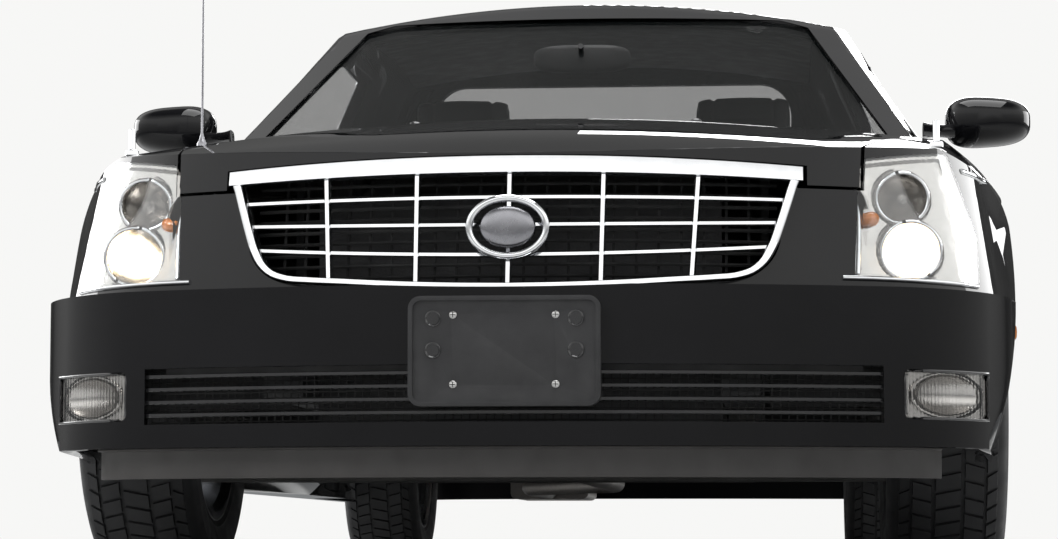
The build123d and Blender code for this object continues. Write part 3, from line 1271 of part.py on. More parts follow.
with BuildPart() as exhaust:
    with BuildLine() as route:
        FilletPolyline(
            (0, at(1250), EXHAUST_Z), (0, at(3560), EXHAUST_Z),
            (-300, at(4150), EXHAUST_Z), (-300, at(4960), EXHAUST_Z),
            radius=160,
        )
    with BuildSketch(Plane(origin=route.line @ 0, z_dir=route.line % 0)):
        Circle(EXHAUST_RADIUS)
    sweep(path=route.line)
    add(block(-430, -170, 4950, 5420, 212, 330))
    fillet(exhaust.edges().filter_by(Axis.Y).group_by(Axis.Z)[0], 20)
    with BuildSketch(Plane.XZ.offset(-at(5400))):
        with Locations((-300, 262)):
            Circle(EXHAUST_RADIUS)
    extrude(amount=-(TAIL - 90 - 5400))
save(exhaust.part, "exhaust")

with BuildPart() as fuel_tank:
    add(block(-320, 320, 3580, 4060, 330, 560))
    fillet(fuel_tank.edges().filter_by(Axis.X), 40)
save(fuel_tank.part, "fuel_tank")

# Cab interior
SEAT_X = 380.0
SEAT_HALF = 250.0
SEAT_BACK_TOP = 1090.0

with BuildPart() as instrument_panel:
    dash = [
        (1502, 640), (1502, 875), (1705, 905), (1735, 950), (1850, 958), (1905, 925), (1885, 820),
        (1800, 720), (1780, 640),
    ]
    add(side_prism(dash, -755, 755))
    for tool in (cab_shell.part, cab_floor.part):
        add(tool, mode=Mode.SUBTRACT)
save(instrument_panel.part, "instrument_panel")

STEERING_PLANE = Plane(
    origin=(SEAT_X, at(2050), 880), x_dir=(1, 0, 0), z_dir=(0, cos(radians(25)), sin(radians(25)))
)

with BuildPart() as steering_wheel:
    with BuildSketch(STEERING_PLANE.rotated((90, 0, 0))):
        with Locations((185, 0)):
            RegularPolygon(14, 8)
    revolve(axis=Axis(STEERING_PLANE.origin, STEERING_PLANE.z_dir))
    with BuildSketch(STEERING_PLANE.offset(-12)):
        Circle(62)
        for turn in (0, 90, 180):
            with Locations(Location((0, 0), -turn)):
                with Locations((95, 0)):
                    Rectangle(180, 34)
    extrude(amount=18)
    with BuildSketch(STEERING_PLANE.offset(-190)):
        Circle(36)
    extrude(amount=180)
    add(instrument_panel.part, mode=Mode.SUBTRACT)
save(steering_wheel.part, "steering_wheel")

with BuildPart() as seat_frames:
    for x in (SEAT_X, -SEAT_X):
        add(block(x - SEAT_HALF - 12, x + SEAT_HALF + 12, 2240, 2690, 380, 400))
        for leg_x in (x - 210, x + 180):
            add(block(leg_x, leg_x + 30, 2270, 2660, FLOOR_Z + FLOOR_WALL, 380))
        for plate_x in (x - SEAT_HALF - 10, x + SEAT_HALF + SEAT_CLEARANCE):
            bracket = [(2600, 380), (2790, 400), (2850, 640), (2790, 655), (2700, 480), (2600, 420)]
            add(side_prism(bracket, plate_x, plate_x + 9.7))
save(seat_frames.part, "seat_frames")

with BuildPart() as seat_cushions:
    profile = [(2180, 440), (2240, 400.3), (2640, 400.3), (2668, 520), (2250, 560), (2185, 530)]
    add(side_prism(profile, SEAT_X - SEAT_HALF, SEAT_X + SEAT_HALF))
    fillet(seat_cushions.edges().filter_by(Axis.X).group_by(Axis.Z)[-1], 22)
save(Compound(children=both(seat_cushions.part)), "seat_cushions")

with BuildPart() as seat_backs:
    profile = [
        (2670, 420), (2780, 410), (2975, 1060), (2950, SEAT_BACK_TOP), (2880, SEAT_BACK_TOP),
        (2850, 1060), (2690, 530),
    ]
    add(side_prism(profile, SEAT_X - SEAT_HALF, SEAT_X + SEAT_HALF))
save(Compound(children=both(seat_backs.part)), "seat_backs")

with BuildPart() as headrests:
    profile = [(2880, 1120), (2975, 1120), (2985, 1250), (2960, 1275), (2905, 1275), (2880, 1250)]
    add(side_prism(profile, SEAT_X - 135, SEAT_X + 135))
    for post_x in (SEAT_X - 80, SEAT_X + 80):
        add(upright(post_x, 2928, 6, SEAT_BACK_TOP + SEAT_CLEARANCE, 1125))
save(Compound(children=both(headrests.part)), "headrests")
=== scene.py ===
"""Flower car looks: paint, chrome, lamps, wheels, cab and flower bed around the packed frame.

Metres. X points to the car's left, Y to its tail and Z up. A station is measured
back from the nose, and the nose stands at NOSE_Y.
"""

import json
import math

import bmesh
import bpy
import numpy as np
from mathutils import Matrix, Vector
from mathutils.bvhtree import BVHTree


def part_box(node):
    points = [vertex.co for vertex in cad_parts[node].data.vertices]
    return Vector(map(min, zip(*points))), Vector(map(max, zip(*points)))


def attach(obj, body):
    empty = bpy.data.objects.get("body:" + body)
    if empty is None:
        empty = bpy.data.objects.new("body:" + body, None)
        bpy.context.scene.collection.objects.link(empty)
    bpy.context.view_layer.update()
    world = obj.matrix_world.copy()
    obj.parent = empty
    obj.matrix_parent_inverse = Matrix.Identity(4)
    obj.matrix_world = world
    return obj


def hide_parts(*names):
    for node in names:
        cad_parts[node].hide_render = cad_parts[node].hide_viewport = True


bl_info = {
    "name": "Flower Car Looks",
    "version": (1, 0, 0),
    "blender": (4, 5, 0),
    "location": "View3D > Sidebar > Flower Car",
    "description": "Dresses the flower car with paint, chrome, lamps, wheels, cab and bed",
    "category": "Object",
}

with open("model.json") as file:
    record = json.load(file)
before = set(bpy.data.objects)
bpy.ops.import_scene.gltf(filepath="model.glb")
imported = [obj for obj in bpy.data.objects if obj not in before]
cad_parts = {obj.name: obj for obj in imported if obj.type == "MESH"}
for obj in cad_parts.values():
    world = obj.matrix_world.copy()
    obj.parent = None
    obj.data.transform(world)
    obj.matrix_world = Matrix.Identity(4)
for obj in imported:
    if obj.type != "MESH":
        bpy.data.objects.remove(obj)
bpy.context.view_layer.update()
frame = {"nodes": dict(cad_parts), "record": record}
BODIES = frame["record"]["behaviour"]["bodies"]
BODY_OF = {node: body for body, nodes in BODIES.items() for node in nodes}

NOSE_Y = -3.032
TAIL = 6.082
REAR_AXLE = 4.690
FRONT_AXLE = 1.010
TYRE_RADIUS = 0.352
WHEEL_X = 0.7965

# Station, then x and z of the sill, the widest point, the crease and the top's edge,
# the shoulder's bulge and the height of the crown. Millimetres, as in the part.
SECTIONS = np.array([
    (-60, 800, 240, 860, 440, 850, 600, 705, 700, 14, 708),
    (100, 825, 240, 876, 445, 866, 612, 727, 742, 15, 760),
    (250, 845, 240, 893, 450, 884, 630, 752, 772, 16, 806),
    (520, 868, 235, 914, 460, 906, 655, 782, 816, 20, 866),
    (1000, 890, 200, 943, 490, 937, 720, 815, 884, 22, 946),
    (1380, 898, 195, 949, 530, 943, 748, 827, 942, 22, 988),
    (1660, 900, 195, 950, 570, 944, 760, 830, 966, 22, 1000),
    (2400, 902, 195, 950, 590, 945, 768, 833, 982, 22, 1012),
    (3470, 902, 195, 950, 590, 945, 775, 833, 985, 22, 1012),
    (4690, 900, 195, 950, 590, 944, 775, 830, 980, 22, 1005),
    (5502, 890, 205, 942, 590, 934, 768, 818, 966, 20, 988),
    (6142, 850, 230, 905, 590, 898, 752, 775, 938, 18, 958),
]) / 1000
# Height, then station of the nose and x, station of the turn, the corner and the side.
NOSE_PLANS = np.array([
    (520, 58, 640, 185, 797, 318, 888, 525),
    (1120, 192, 564, 339, 713, 498, 816, 755),
]) / 1000
BUMPER_PLAN = np.array((520, 0, 690, 125, 838, 262, 905, 450)) / 1000
TAIL_PLANS = np.array([
    (520, 45, 690, 75, 832, 185, 890, 400),
    (1120, 65, 675, 97, 805, 212, 858, 430),
]) / 1000
TAIL_BUMPER_PLAN = np.array((520, 0, 700, 62, 846, 170, 905, 380)) / 1000
# Height, then the screen's middle, pillar x and station, side x, rear x and rear station.
CAB_PLANS = np.array([
    (960, 1470, 792, 1665, 815, 815, 3480),
    (1372, 2215, 596, 2318, 637, 640, 3450),
]) / 1000
# Station, height at the side rail and at the crown.
ROOF_ARCS = np.array([
    (1800, 1200, 1290),
    (2230, 1310, 1400),
    (2500, 1352, 1440),
    (2860, 1374, 1462),
    (3160, 1376, 1464),
    (3560, 1358, 1448),
]) / 1000
ROOF_HALF_WIDTH = 0.720


def y_of(station):
    """Y of a station."""
    return station + NOSE_Y


def smooth_rows(rows, stations):
    """Rows of values at uneven stations, read off a smooth curve through them."""
    slopes = np.gradient(rows, rows[:, 0], axis=0)
    index = np.clip(np.searchsorted(rows[:, 0], stations) - 1, 0, len(rows) - 2)
    before, after = rows[index], rows[index + 1]
    span = (after[:, 0] - before[:, 0])[:, None]
    t = (np.asarray(stations)[:, None] - before[:, :1]) / span
    hermite = (2 * t**3 - 3 * t**2 + 1) * before + (t**3 - 2 * t**2 + t) * span * slopes[index]
    return hermite + (3 * t**2 - 2 * t**3) * after + (t**3 - t**2) * span * slopes[index + 1]


def arc_points(start, middle, end, count, spare=0.0):
    """Points along the circle arc through three points in a plane, run on past both ends."""
    start, middle, end = (np.asarray(p, float) for p in (start, middle, end))
    ab, ac = middle - start, end - start
    turn = 2 * (ab[0] * ac[1] - ab[1] * ac[0])
    centre = start + np.array([
        ac[1] * ab.dot(ab) - ab[1] * ac.dot(ac),
        ab[0] * ac.dot(ac) - ac[0] * ab.dot(ab),
    ]) / turn
    radius = np.hypot(*(start - centre))
    first = math.atan2(*(start - centre)[::-1])
    sweep = math.atan2(*(end - centre)[::-1]) - first
    sweep = (sweep + 2 * math.pi) % (2 * math.pi) if turn > 0 else -((-sweep + 2 * math.pi) % (2 * math.pi))
    angles = first + sweep * np.linspace(-spare, 1 + spare, count)
    return centre + radius * np.column_stack((np.cos(angles), np.sin(angles)))


class Skin:
    """A smooth guide surface, given as a grid of points, that panels take their normals from."""

    def __init__(self, grid, outward):
        grid = np.asarray(grid, float)
        rows, columns = grid.shape[:2]
        self.points = grid.reshape(-1, 3)
        along = np.gradient(grid, axis=0)
        across = np.gradient(grid, axis=1)
        normals = np.cross(along, across)
        normals /= np.linalg.norm(normals, axis=2, keepdims=True)
        middle = normals[rows // 2, columns // 2]
        if middle.dot(outward) < 0:
            normals = -normals
        self.normals = normals.reshape(-1, 3)
        quads = []
        for i in range(rows - 1):
            for j in range(columns - 1):
                k = i * columns + j
                quads.append((k, k + 1, k + columns + 1, k + columns))
        self.quads = quads
        self.tree = BVHTree.FromPolygons([tuple(p) for p in self.points], quads)

    def near(self, point, reach):
        """Closest point, the smooth normal there and the distance, or None."""
        place, _, index, distance = self.tree.find_nearest(point, reach)
        if place is None:
            return None
        corners = list(self.quads[index])
        gaps = np.linalg.norm(self.points[corners] - np.array(place), axis=1) + 1e-6
        normal = (self.normals[corners] / gaps[:, None] ** 2).sum(axis=0)
        return place, normal / np.linalg.norm(normal), distance


def both_sides(strip, outward):
    """The guide on the car's left and its mirror image on the right."""
    grid = np.array(strip)
    return [Skin(grid, outward), Skin(grid * (-1, 1, 1), (-outward[0], *outward[1:]))]


def body_skins():
    """Guides for the body's sides, shoulders and top."""
    rows = smooth_rows(SECTIONS, np.linspace(-0.06, TAIL + 0.06, 260))
    side, shoulder, top = [], [], []
    for s, sill_x, sill_z, side_x, side_z, crease_x, crease_z, edge_x, edge_z, bulge, crown in rows:
        run = np.array((edge_x - crease_x, edge_z - crease_z))
        out = np.array((run[1], -run[0])) / np.hypot(*run) * bulge
        middle = np.array(((crease_x + edge_x) / 2, (crease_z + edge_z) / 2)) + out
        arcs = (
            arc_points((sill_x, sill_z), (side_x, side_z), (crease_x, crease_z), 26, 0.12),
            arc_points((crease_x, crease_z), middle, (edge_x, edge_z), 18, 0.3),
            arc_points((edge_x, edge_z), (0, crown), (-edge_x, edge_z), 60, 0.04),
        )
        for strip, points in zip((side, shoulder, top), arcs):
            strip.append([(x, y_of(s), z) for x, z in points])
    return [Skin(top, (0, 0, 1)), *both_sides(side, (1, 0, 0)), *both_sides(shoulder, (1, 0, 1))]


def plan_row(plans, z):
    """The plan outline at a height, on straight lines through the first and the last one."""
    share = (z - plans[0][0]) / (plans[-1][0] - plans[0][0] or 1)
    return plans[0] + share * (plans[-1] - plans[0])


def plan_skins(plans, low, high, tail):
    """Guides for the nose or the tail, from plan outlines on straight lines up the car."""
    nose, corner = [], []
    for z in np.linspace(low, high, 30):
        _, nose_s, turn_x, turn_s, corner_x, corner_s, side_x, side_s = plan_row(plans, z)
        arcs = (
            arc_points((-turn_x, turn_s), (0, nose_s), (turn_x, turn_s), 70, 0.1),
            arc_points((turn_x, turn_s), (corner_x, corner_s), (side_x, side_s), 40, 0.25),
        )
        for strip, points in zip((nose, corner), arcs):
            strip.append([(x, y_of(TAIL - s if tail else s), z) for x, s in points])
    outward = 1 if tail else -1
    return [Skin(nose, (0, outward, 0)), *both_sides(corner, (1, outward, 0))]


# How each value of a cab plan moves when the outline is drawn in.
CAB_INSET = np.array((0, 2.0, -1.09, 1.0, -1.09, -1.09, -1.0))
# The pillar's turn from the screen's edge to the side, along the car.
PILLAR_RUN = 0.11


def cab_skins(inset):
    """Guides for the screen, the sides, the rear wall and the roof."""
    screen, pillar, side, roof = [], [], [], []
    for z in np.linspace(0.90, 1.45, 24):
        _, screen_s, pillar_x, pillar_s, side_x, rear_x, rear_s = plan_row(CAB_PLANS, z) + inset * CAB_INSET
        points = arc_points((-pillar_x, pillar_s), (0, screen_s), (pillar_x, pillar_s), 60, 0.02)
        screen.append([(x, y_of(s), z) for x, s in points])
        steps = np.linspace(-0.3, 1.3, 10)
        wide = side_x - pillar_x
        pillar.append([(pillar_x + t * wide, y_of(pillar_s + PILLAR_RUN * t), z) for t in steps])
        run = rear_s - pillar_s - PILLAR_RUN
        steps = np.linspace(-0.05, 1.0, 30)
        wide, start = rear_x - side_x, pillar_s + PILLAR_RUN
        side.append([(side_x + t * wide, y_of(start + run * t), z) for t in steps])
    for s, rail, crown in smooth_rows(ROOF_ARCS, np.linspace(1.80, 3.56, 90)):
        ends = [(sign * ROOF_HALF_WIDTH, rail - inset) for sign in (1, -1)]
        roof.append([(x, y_of(s), z) for x, z in arc_points(ends[0], (0, crown - inset), ends[1], 60)])
    sides = both_sides(pillar, (1, 0, 0)) + both_sides(side, (1, 0, 0))
    return [Skin(screen, (0, -1, 1)), *sides, Skin(roof, (0, 0, 1))]


def all_skins():
    """Every guide of the painted panels and the lamps."""
    skins = body_skins() + cab_skins(0.0)
    for upper, bumper, tail in ((NOSE_PLANS, BUMPER_PLAN, False), (TAIL_PLANS, TAIL_BUMPER_PLAN, True)):
        skins += plan_skins(upper, 0.50, 1.05, tail)
        skins += plan_skins(np.array((bumper, bumper)), 0.18, 0.54, tail)
    return skins


# How near a guide blends its normal in, and how near it pulls a panel's points onto it.
BLEND_REACH = 0.010
SNAP_REACH = 0.0048
# Panel edges are divided down to this length, in so many rounds at most.
LONGEST_EDGE = 0.035
DIVIDINGS = 7
# How well a face and a guide have to agree in the way that they face.
FACING = 0.8


def linked(name, mesh):
    """A new object in the scene."""
    obj = bpy.data.objects.new(name, mesh)
    bpy.context.scene.collection.objects.link(obj)
    return obj


def apply_modifiers(obj):
    """Turns a modified object into its plain mesh."""
    graph = bpy.context.evaluated_depsgraph_get()
    graph.update()
    shown = obj.evaluated_get(graph)
    mesh = bpy.data.meshes.new_from_object(shown, preserve_all_data_layers=True, depsgraph=graph)
    obj.modifiers.clear()
    obj.data = mesh
    return obj


def round_edges(obj, width, angle):
    """Rounds the edges over an angle."""
    rounding = obj.modifiers.new("Edges", "BEVEL")
    rounding.width = width
    rounding.segments = 2
    rounding.limit_method = "ANGLE"
    rounding.angle_limit = math.radians(angle)
    return apply_modifiers(obj)


def sharpen(mesh, angle):
    """Smooth shading that stays sharp at edges over an angle."""
    mesh.set_sharp_from_angle(angle=math.radians(angle))
    mesh.shade_smooth()


def merged(node):
    """A merged copy of a CAD node's mesh, as an object."""
    bm = bmesh.new()
    bm.from_mesh(frame["nodes"][node].data)
    bmesh.ops.remove_doubles(bm, verts=bm.verts, dist=2e-5)
    bmesh.ops.dissolve_degenerate(bm, edges=bm.edges, dist=1e-5)
    bmesh.ops.dissolve_limit(bm, angle_limit=math.radians(0.4), verts=bm.verts, edges=bm.edges)
    mesh = bpy.data.meshes.new(node + "_shape")
    bm.to_mesh(mesh)
    bm.free()
    return linked(node + "_look", mesh)


def lay_on_skins(obj, skins):
    """Divides a panel's outer faces, lays them on the smooth guides and takes their normals."""
    bm = bmesh.new()
    bm.from_mesh(obj.data)
    bmesh.ops.triangulate(bm, faces=bm.faces)

    def guides(vert, reach):
        return [hit for hit in (skin.near(vert.co, reach) for skin in skins) if hit]

    def faced(hit, vert):
        return any(Vector(hit[1]).dot(face.normal) > FACING for face in vert.link_faces)

    for _ in range(DIVIDINGS):
        bm.verts.index_update()
        bm.normal_update()
        outer = {}
        long_edges = []
        for edge in bm.edges:
            if edge.calc_length() <= LONGEST_EDGE:
                continue
            for vert in edge.verts:
                if vert.index not in outer:
                    outer[vert.index] = any(faced(hit, vert) for hit in guides(vert, SNAP_REACH))
            if outer[edge.verts[0].index] and outer[edge.verts[1].index]:
                long_edges.append(edge)
        if not long_edges:
            break
        bmesh.ops.subdivide_edges(bm, edges=long_edges, cuts=1)
        bmesh.ops.triangulate(bm, faces=[f for f in bm.faces if len(f.verts) > 3])
    bm.verts.index_update()
    bm.normal_update()
    blends = {}
    for vert in bm.verts:
        hits = guides(vert, BLEND_REACH)
        aligned = [hit for hit in hits if hit[2] < SNAP_REACH and faced(hit, vert)]
        if not aligned:
            continue
        place, normal, gap = min(aligned, key=lambda hit: hit[2])
        vert.co = place
        weights = [max(0.0, 1 - max(0.0, hit[2] - gap) / BLEND_REACH) ** 2 for hit in hits]
        pulls = [(Vector(hit[1]), weight) for hit, weight in zip(hits, weights)]
        blends[vert.index] = (Vector(normal), pulls)
    mesh = obj.data
    bm.to_mesh(mesh)
    bm.free()
    sharpen(mesh, 34)
    corner = np.zeros(len(mesh.loops) * 3, np.float32)
    mesh.corner_normals.foreach_get("vector", corner)
    corner = corner.reshape(-1, 3)
    for face in mesh.polygons:
        flat = face.normal
        for loop in face.loop_indices:
            closest, blend = blends.get(mesh.loops[loop].vertex_index, (None, ()))
            if closest is None or closest.dot(flat) < 0.75:
                continue
            total = Vector((0, 0, 0))
            for normal, weight in blend:
                if normal.dot(flat) > 0.85:
                    total += normal * weight
            if total.length > 0.01:
                corner[loop] = total.normalized()
    mesh.normals_split_custom_set([tuple(n) for n in corner])


def settle(obj, finish, body, slot=None, replaces=()):
    """Gives a finished object its material and its body, and hides the CAD nodes that it stands for; slot is
    not used.
    """
    coat(obj.data, finish)
    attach(obj, body)
    if replaces:
        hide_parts(*replaces)
    return obj


def dress(node, finish, bevel=0.0, angle=40, skins=None):
    """A copy of a CAD node with rounded edges and smooth shading, in a finish."""
    obj = merged(node)
    if bevel:
        round_edges(obj, bevel, angle)
    if skins:
        lay_on_skins(obj, skins)
    else:
        sharpen(obj.data, 32)
    return settle(obj, finish, BODY_OF[node], replaces=(node,))


def coat(mesh, finish):
    """Gives a mesh one material."""
    mesh.materials.clear()
    mesh.materials.append(FINISHES[finish])


class Finish:
    """A node material in the making."""

    def __init__(self, name):
        self.material = bpy.data.materials.new(name)
        self.material.use_nodes = True
        self.tree = self.material.node_tree
        self.tree.nodes.clear()
        self.link = self.tree.links.new
        self.shader = self.node("ShaderNodeBsdfPrincipled")
        self.link(self.shader.outputs[0], self.node("ShaderNodeOutputMaterial").inputs["Surface"])
        self.object_place = self.node("ShaderNodeTexCoord").outputs["Object"]

    def node(self, kind, **inputs):
        made = self.tree.nodes.new(kind)
        for name, value in inputs.items():
            made.inputs[name.replace("_", " ")].default_value = value
        return made

    def set(self, **values):
        for key, value in values.items():
            socket = self.shader.inputs[key.replace("_", " ").title().replace("Ior", "IOR")]
            socket.default_value = (*value, 1.0) if isinstance(value, tuple) else value
        return self

    def stretched(self, scale):
        """Object coordinates scaled apart along the three axes."""
        mapping = self.node("ShaderNodeMapping", Scale=scale)
        self.link(self.object_place, mapping.inputs["Vector"])
        return mapping.outputs["Vector"]

    def noise(self, scale, detail=4.0, where=None, rough=0.55):
        made = self.node("ShaderNodeTexNoise", Scale=scale, Detail=detail, Roughness=rough)
        self.link(where or self.object_place, made.inputs["Vector"])
        return made.outputs["Fac"]

    def cells(self, scale):
        made = self.node("ShaderNodeTexVoronoi", Scale=scale)
        self.link(self.object_place, made.inputs["Vector"])
        return made.outputs["Distance"]

    def tint(self, source, first, second):
        """The base colour runs between two colours with the source."""
        ramp = self.node("ShaderNodeValToRGB")
        for stop, place, colour in zip(ramp.color_ramp.elements, (0.35, 0.65), (first, second)):
            stop.position = place
            stop.color = (*colour, 1)
        self.link(source, ramp.inputs["Fac"])
        self.link(ramp.outputs["Color"], self.shader.inputs["Base Color"])
        return self

    def rough(self, source, low, high, near=0.35, far=0.65):
        """The roughness runs from low to high as the source runs from near to far."""
        made = self.node("ShaderNodeMapRange", From_Min=near, From_Max=far, To_Min=low, To_Max=high)
        self.link(source, made.inputs["Value"])
        self.link(made.outputs["Result"], self.shader.inputs["Roughness"])
        return self

    def bump(self, source, strength, distance):
        made = self.node("ShaderNodeBump", Strength=strength, Distance=distance)
        self.link(source, made.inputs["Height"])
        self.link(made.outputs["Normal"], self.shader.inputs["Normal"])
        return self


FINISHES = {}


def lacquer(name, colour):
    """Deep gloss paint under clear lacquer, with a faint orange peel."""
    made = Finish(name).set(coat_weight=1.0, coat_roughness=0.012, coat_ior=1.36, specular_ior_level=0.0)
    made.tint(made.noise(3.0, 3.0), colour, tuple(c * 1.5 + 0.0006 for c in colour))
    made.rough(made.noise(14.0), 0.16, 0.24)
    made.bump(made.noise(260.0, 1.0), 0.03, 0.0004)
    return made.material


def plate(name, colour=(0.80, 0.81, 0.83), low=0.035, high=0.09):
    """Bright plating with a faint uneven polish."""
    made = Finish(name).set(metallic=1.0)
    made.tint(made.noise(30.0, 5.0), colour, tuple(c * 0.93 for c in colour))
    made.rough(made.noise(55.0, 6.0), low, high)
    return made.material


def brushed(name, colour, stretch, low=0.2, high=0.38, strength=0.12):
    """Metal with fine lines along the axis where stretch is small."""
    made = Finish(name).set(metallic=1.0)
    grain = made.noise(1.0, 6.0, made.stretched(stretch), 0.7)
    made.tint(made.noise(4.0, 4.0), colour, tuple(c * 0.86 for c in colour))
    made.rough(grain, low, high, 0.3, 0.7)
    made.bump(grain, strength, 0.0006)
    return made.material


def plastic(name, colour, rough, grain=900.0, strength=0.25, coat=0.0):
    """Moulded plastic with a fine grain."""
    made = Finish(name).set(coat_weight=coat, coat_roughness=0.05)
    made.tint(made.noise(6.0, 5.0), colour, tuple(c * 1.35 + 0.002 for c in colour))
    made.rough(made.noise(22.0, 5.0), rough * 0.85, min(1.0, rough * 1.2))
    made.bump(made.cells(grain), strength, 0.0006)
    return made.material


def window_glass(name, colour, alpha, ior):
    """Glass of a pane: dark tint, clear reflections."""
    made = Finish(name).set(roughness=0.0, alpha=alpha, ior=ior)
    made.tint(made.noise(1.5, 2.0), colour, tuple(c * 1.2 for c in colour))
    made.rough(made.noise(9.0, 3.0), 0.0, 0.02)
    made.material.surface_render_method = "BLENDED"
    return made.material


def clear_glass(name, colour, rough=0.0, ior=1.49):
    """Clear moulded lens."""
    made = Finish(name).set(transmission_weight=1.0, ior=ior)
    made.tint(made.noise(2.0, 2.0), colour, tuple(min(1.0, c * 1.02) for c in colour))
    made.rough(made.noise(9.0, 3.0), rough, rough + 0.01)
    return made.material


def glowing(name, colour, strength):
    """A lit filament or lens."""
    made = Finish(name).set(base_color=colour, emission_color=colour, emission_strength=strength)
    made.rough(made.noise(9.0), 0.2, 0.3)
    return made.material


def make_finishes():
    """Fills FINISHES; the main colours come from the sidebar."""
    f, colours = FINISHES, bpy.context.scene.flowercar_colours
    f["paint"] = lacquer("black_lacquer", tuple(colours.lacquer))
    f["chrome"] = plate("bright_chrome")
    f["polished"] = plate("polished_stainless", (0.70, 0.71, 0.72), 0.06, 0.14)
    f["stainless"] = brushed("brushed_stainless", (0.58, 0.59, 0.60), (400, 4, 400))
    f["exhaust_steel"] = brushed("aged_exhaust_steel", (0.36, 0.34, 0.32), (60, 60, 60), 0.35, 0.6, 0.2)
    f["trim"] = plastic("textured_dark_trim", (0.014, 0.014, 0.015), 0.55)
    f["dam"] = plastic("grey_air_dam", tuple(colours.dam), 0.5)
    f["gloss_trim"] = plastic("gloss_black_trim", (0.010, 0.010, 0.011), 0.18, 500.0, 0.03, 0.6)
    f["liner"] = plastic("wheel_liner_plastic", (0.012, 0.012, 0.012), 0.8, 500.0, 0.5)
    f["rubber"] = plastic("black_rubber", (0.014, 0.014, 0.014), 0.62, 700.0, 0.2)
    f["tyre"] = plastic("tyre_rubber", (0.017, 0.017, 0.018), 0.58, 1200.0, 0.3)
    f["under"] = plastic("satin_underbody_paint", (0.018, 0.018, 0.019), 0.45, 160.0, 0.5)
    f["iron"] = plastic("cast_iron_skin", (0.06, 0.058, 0.055), 0.62, 420.0, 0.6)
    f["dash"] = plastic("soft_dash_skin", (0.022, 0.022, 0.024), 0.6, 520.0, 0.6)
    f["glass"] = window_glass("tinted_safety_glass", (0.004, 0.005, 0.005), 0.30, 1.28)
    f["blank"] = plastic("blank_plate", (0.62, 0.62, 0.60), 0.35, 60.0, 0.02, 0.3)
    f["lens"] = clear_glass("clear_lens", (0.96, 0.975, 0.98))
    f["red"] = plastic("red_lens_moulding", (0.42, 0.006, 0.008), 0.12, 40.0, 0.02, 1.0)
    f["alloy"] = brushed("machined_alloy", (0.66, 0.67, 0.69), (90, 90, 90), 0.12, 0.24, 0.03)
    f["leather"] = plastic("black_leather", tuple(colours.leather), 0.48, 260.0, 0.7)
    f["lamp_shell"] = plate("metallised_shell", (0.50, 0.48, 0.46), 0.10, 0.20)
    f["mirror"] = plate("mirror_glass", (0.86, 0.87, 0.88), 0.0, 0.012)
    f["disc"] = brushed("turned_disc", (0.45, 0.44, 0.43), (70, 70, 70), 0.22, 0.4, 0.15)
    f["steel"] = plate("zinc_screw", (0.55, 0.55, 0.54), 0.22, 0.36)
    f["satin"] = plate("satin_chrome", (0.30, 0.30, 0.32), 0.20, 0.30)
    f["bulb"] = clear_glass("bulb_glass", (0.80, 0.78, 0.76), 0.05)
    f["lit"] = glowing("lit_bulb", tuple(colours.beam), 6.0)
    f["amber"] = plastic("amber_marker", tuple(colours.marker), 0.15, 40.0, 0.02, 1.0)
    f["fluted"] = clear_glass("fluted_lens", (0.95, 0.965, 0.97), 0.02)
    f["core"] = plastic("cooling_core", (0.02, 0.02, 0.021), 0.5, 200.0, 0.8)


def rounded(u, power):
    """A coordinate of a squared circle: power 2 is round, more is squarer."""
    return math.copysign(abs(u) ** (2 / power), u)


def squared_points(count, power=2.0):
    """Points of a circle, or of a squared circle, of half width 1."""
    angles = np.linspace(0, 2 * math.pi, count, endpoint=False)
    return [(rounded(math.cos(a), power), rounded(math.sin(a), power)) for a in angles]


def neighbours(path, i, closed):
    """The points before and after one on a path; an open path's ends stand for their own neighbours."""
    before = path[i - 1] if i or closed else path[i]
    after = path[(i + 1) % len(path)] if i + 1 < len(path) or closed else path[i]
    return before, after


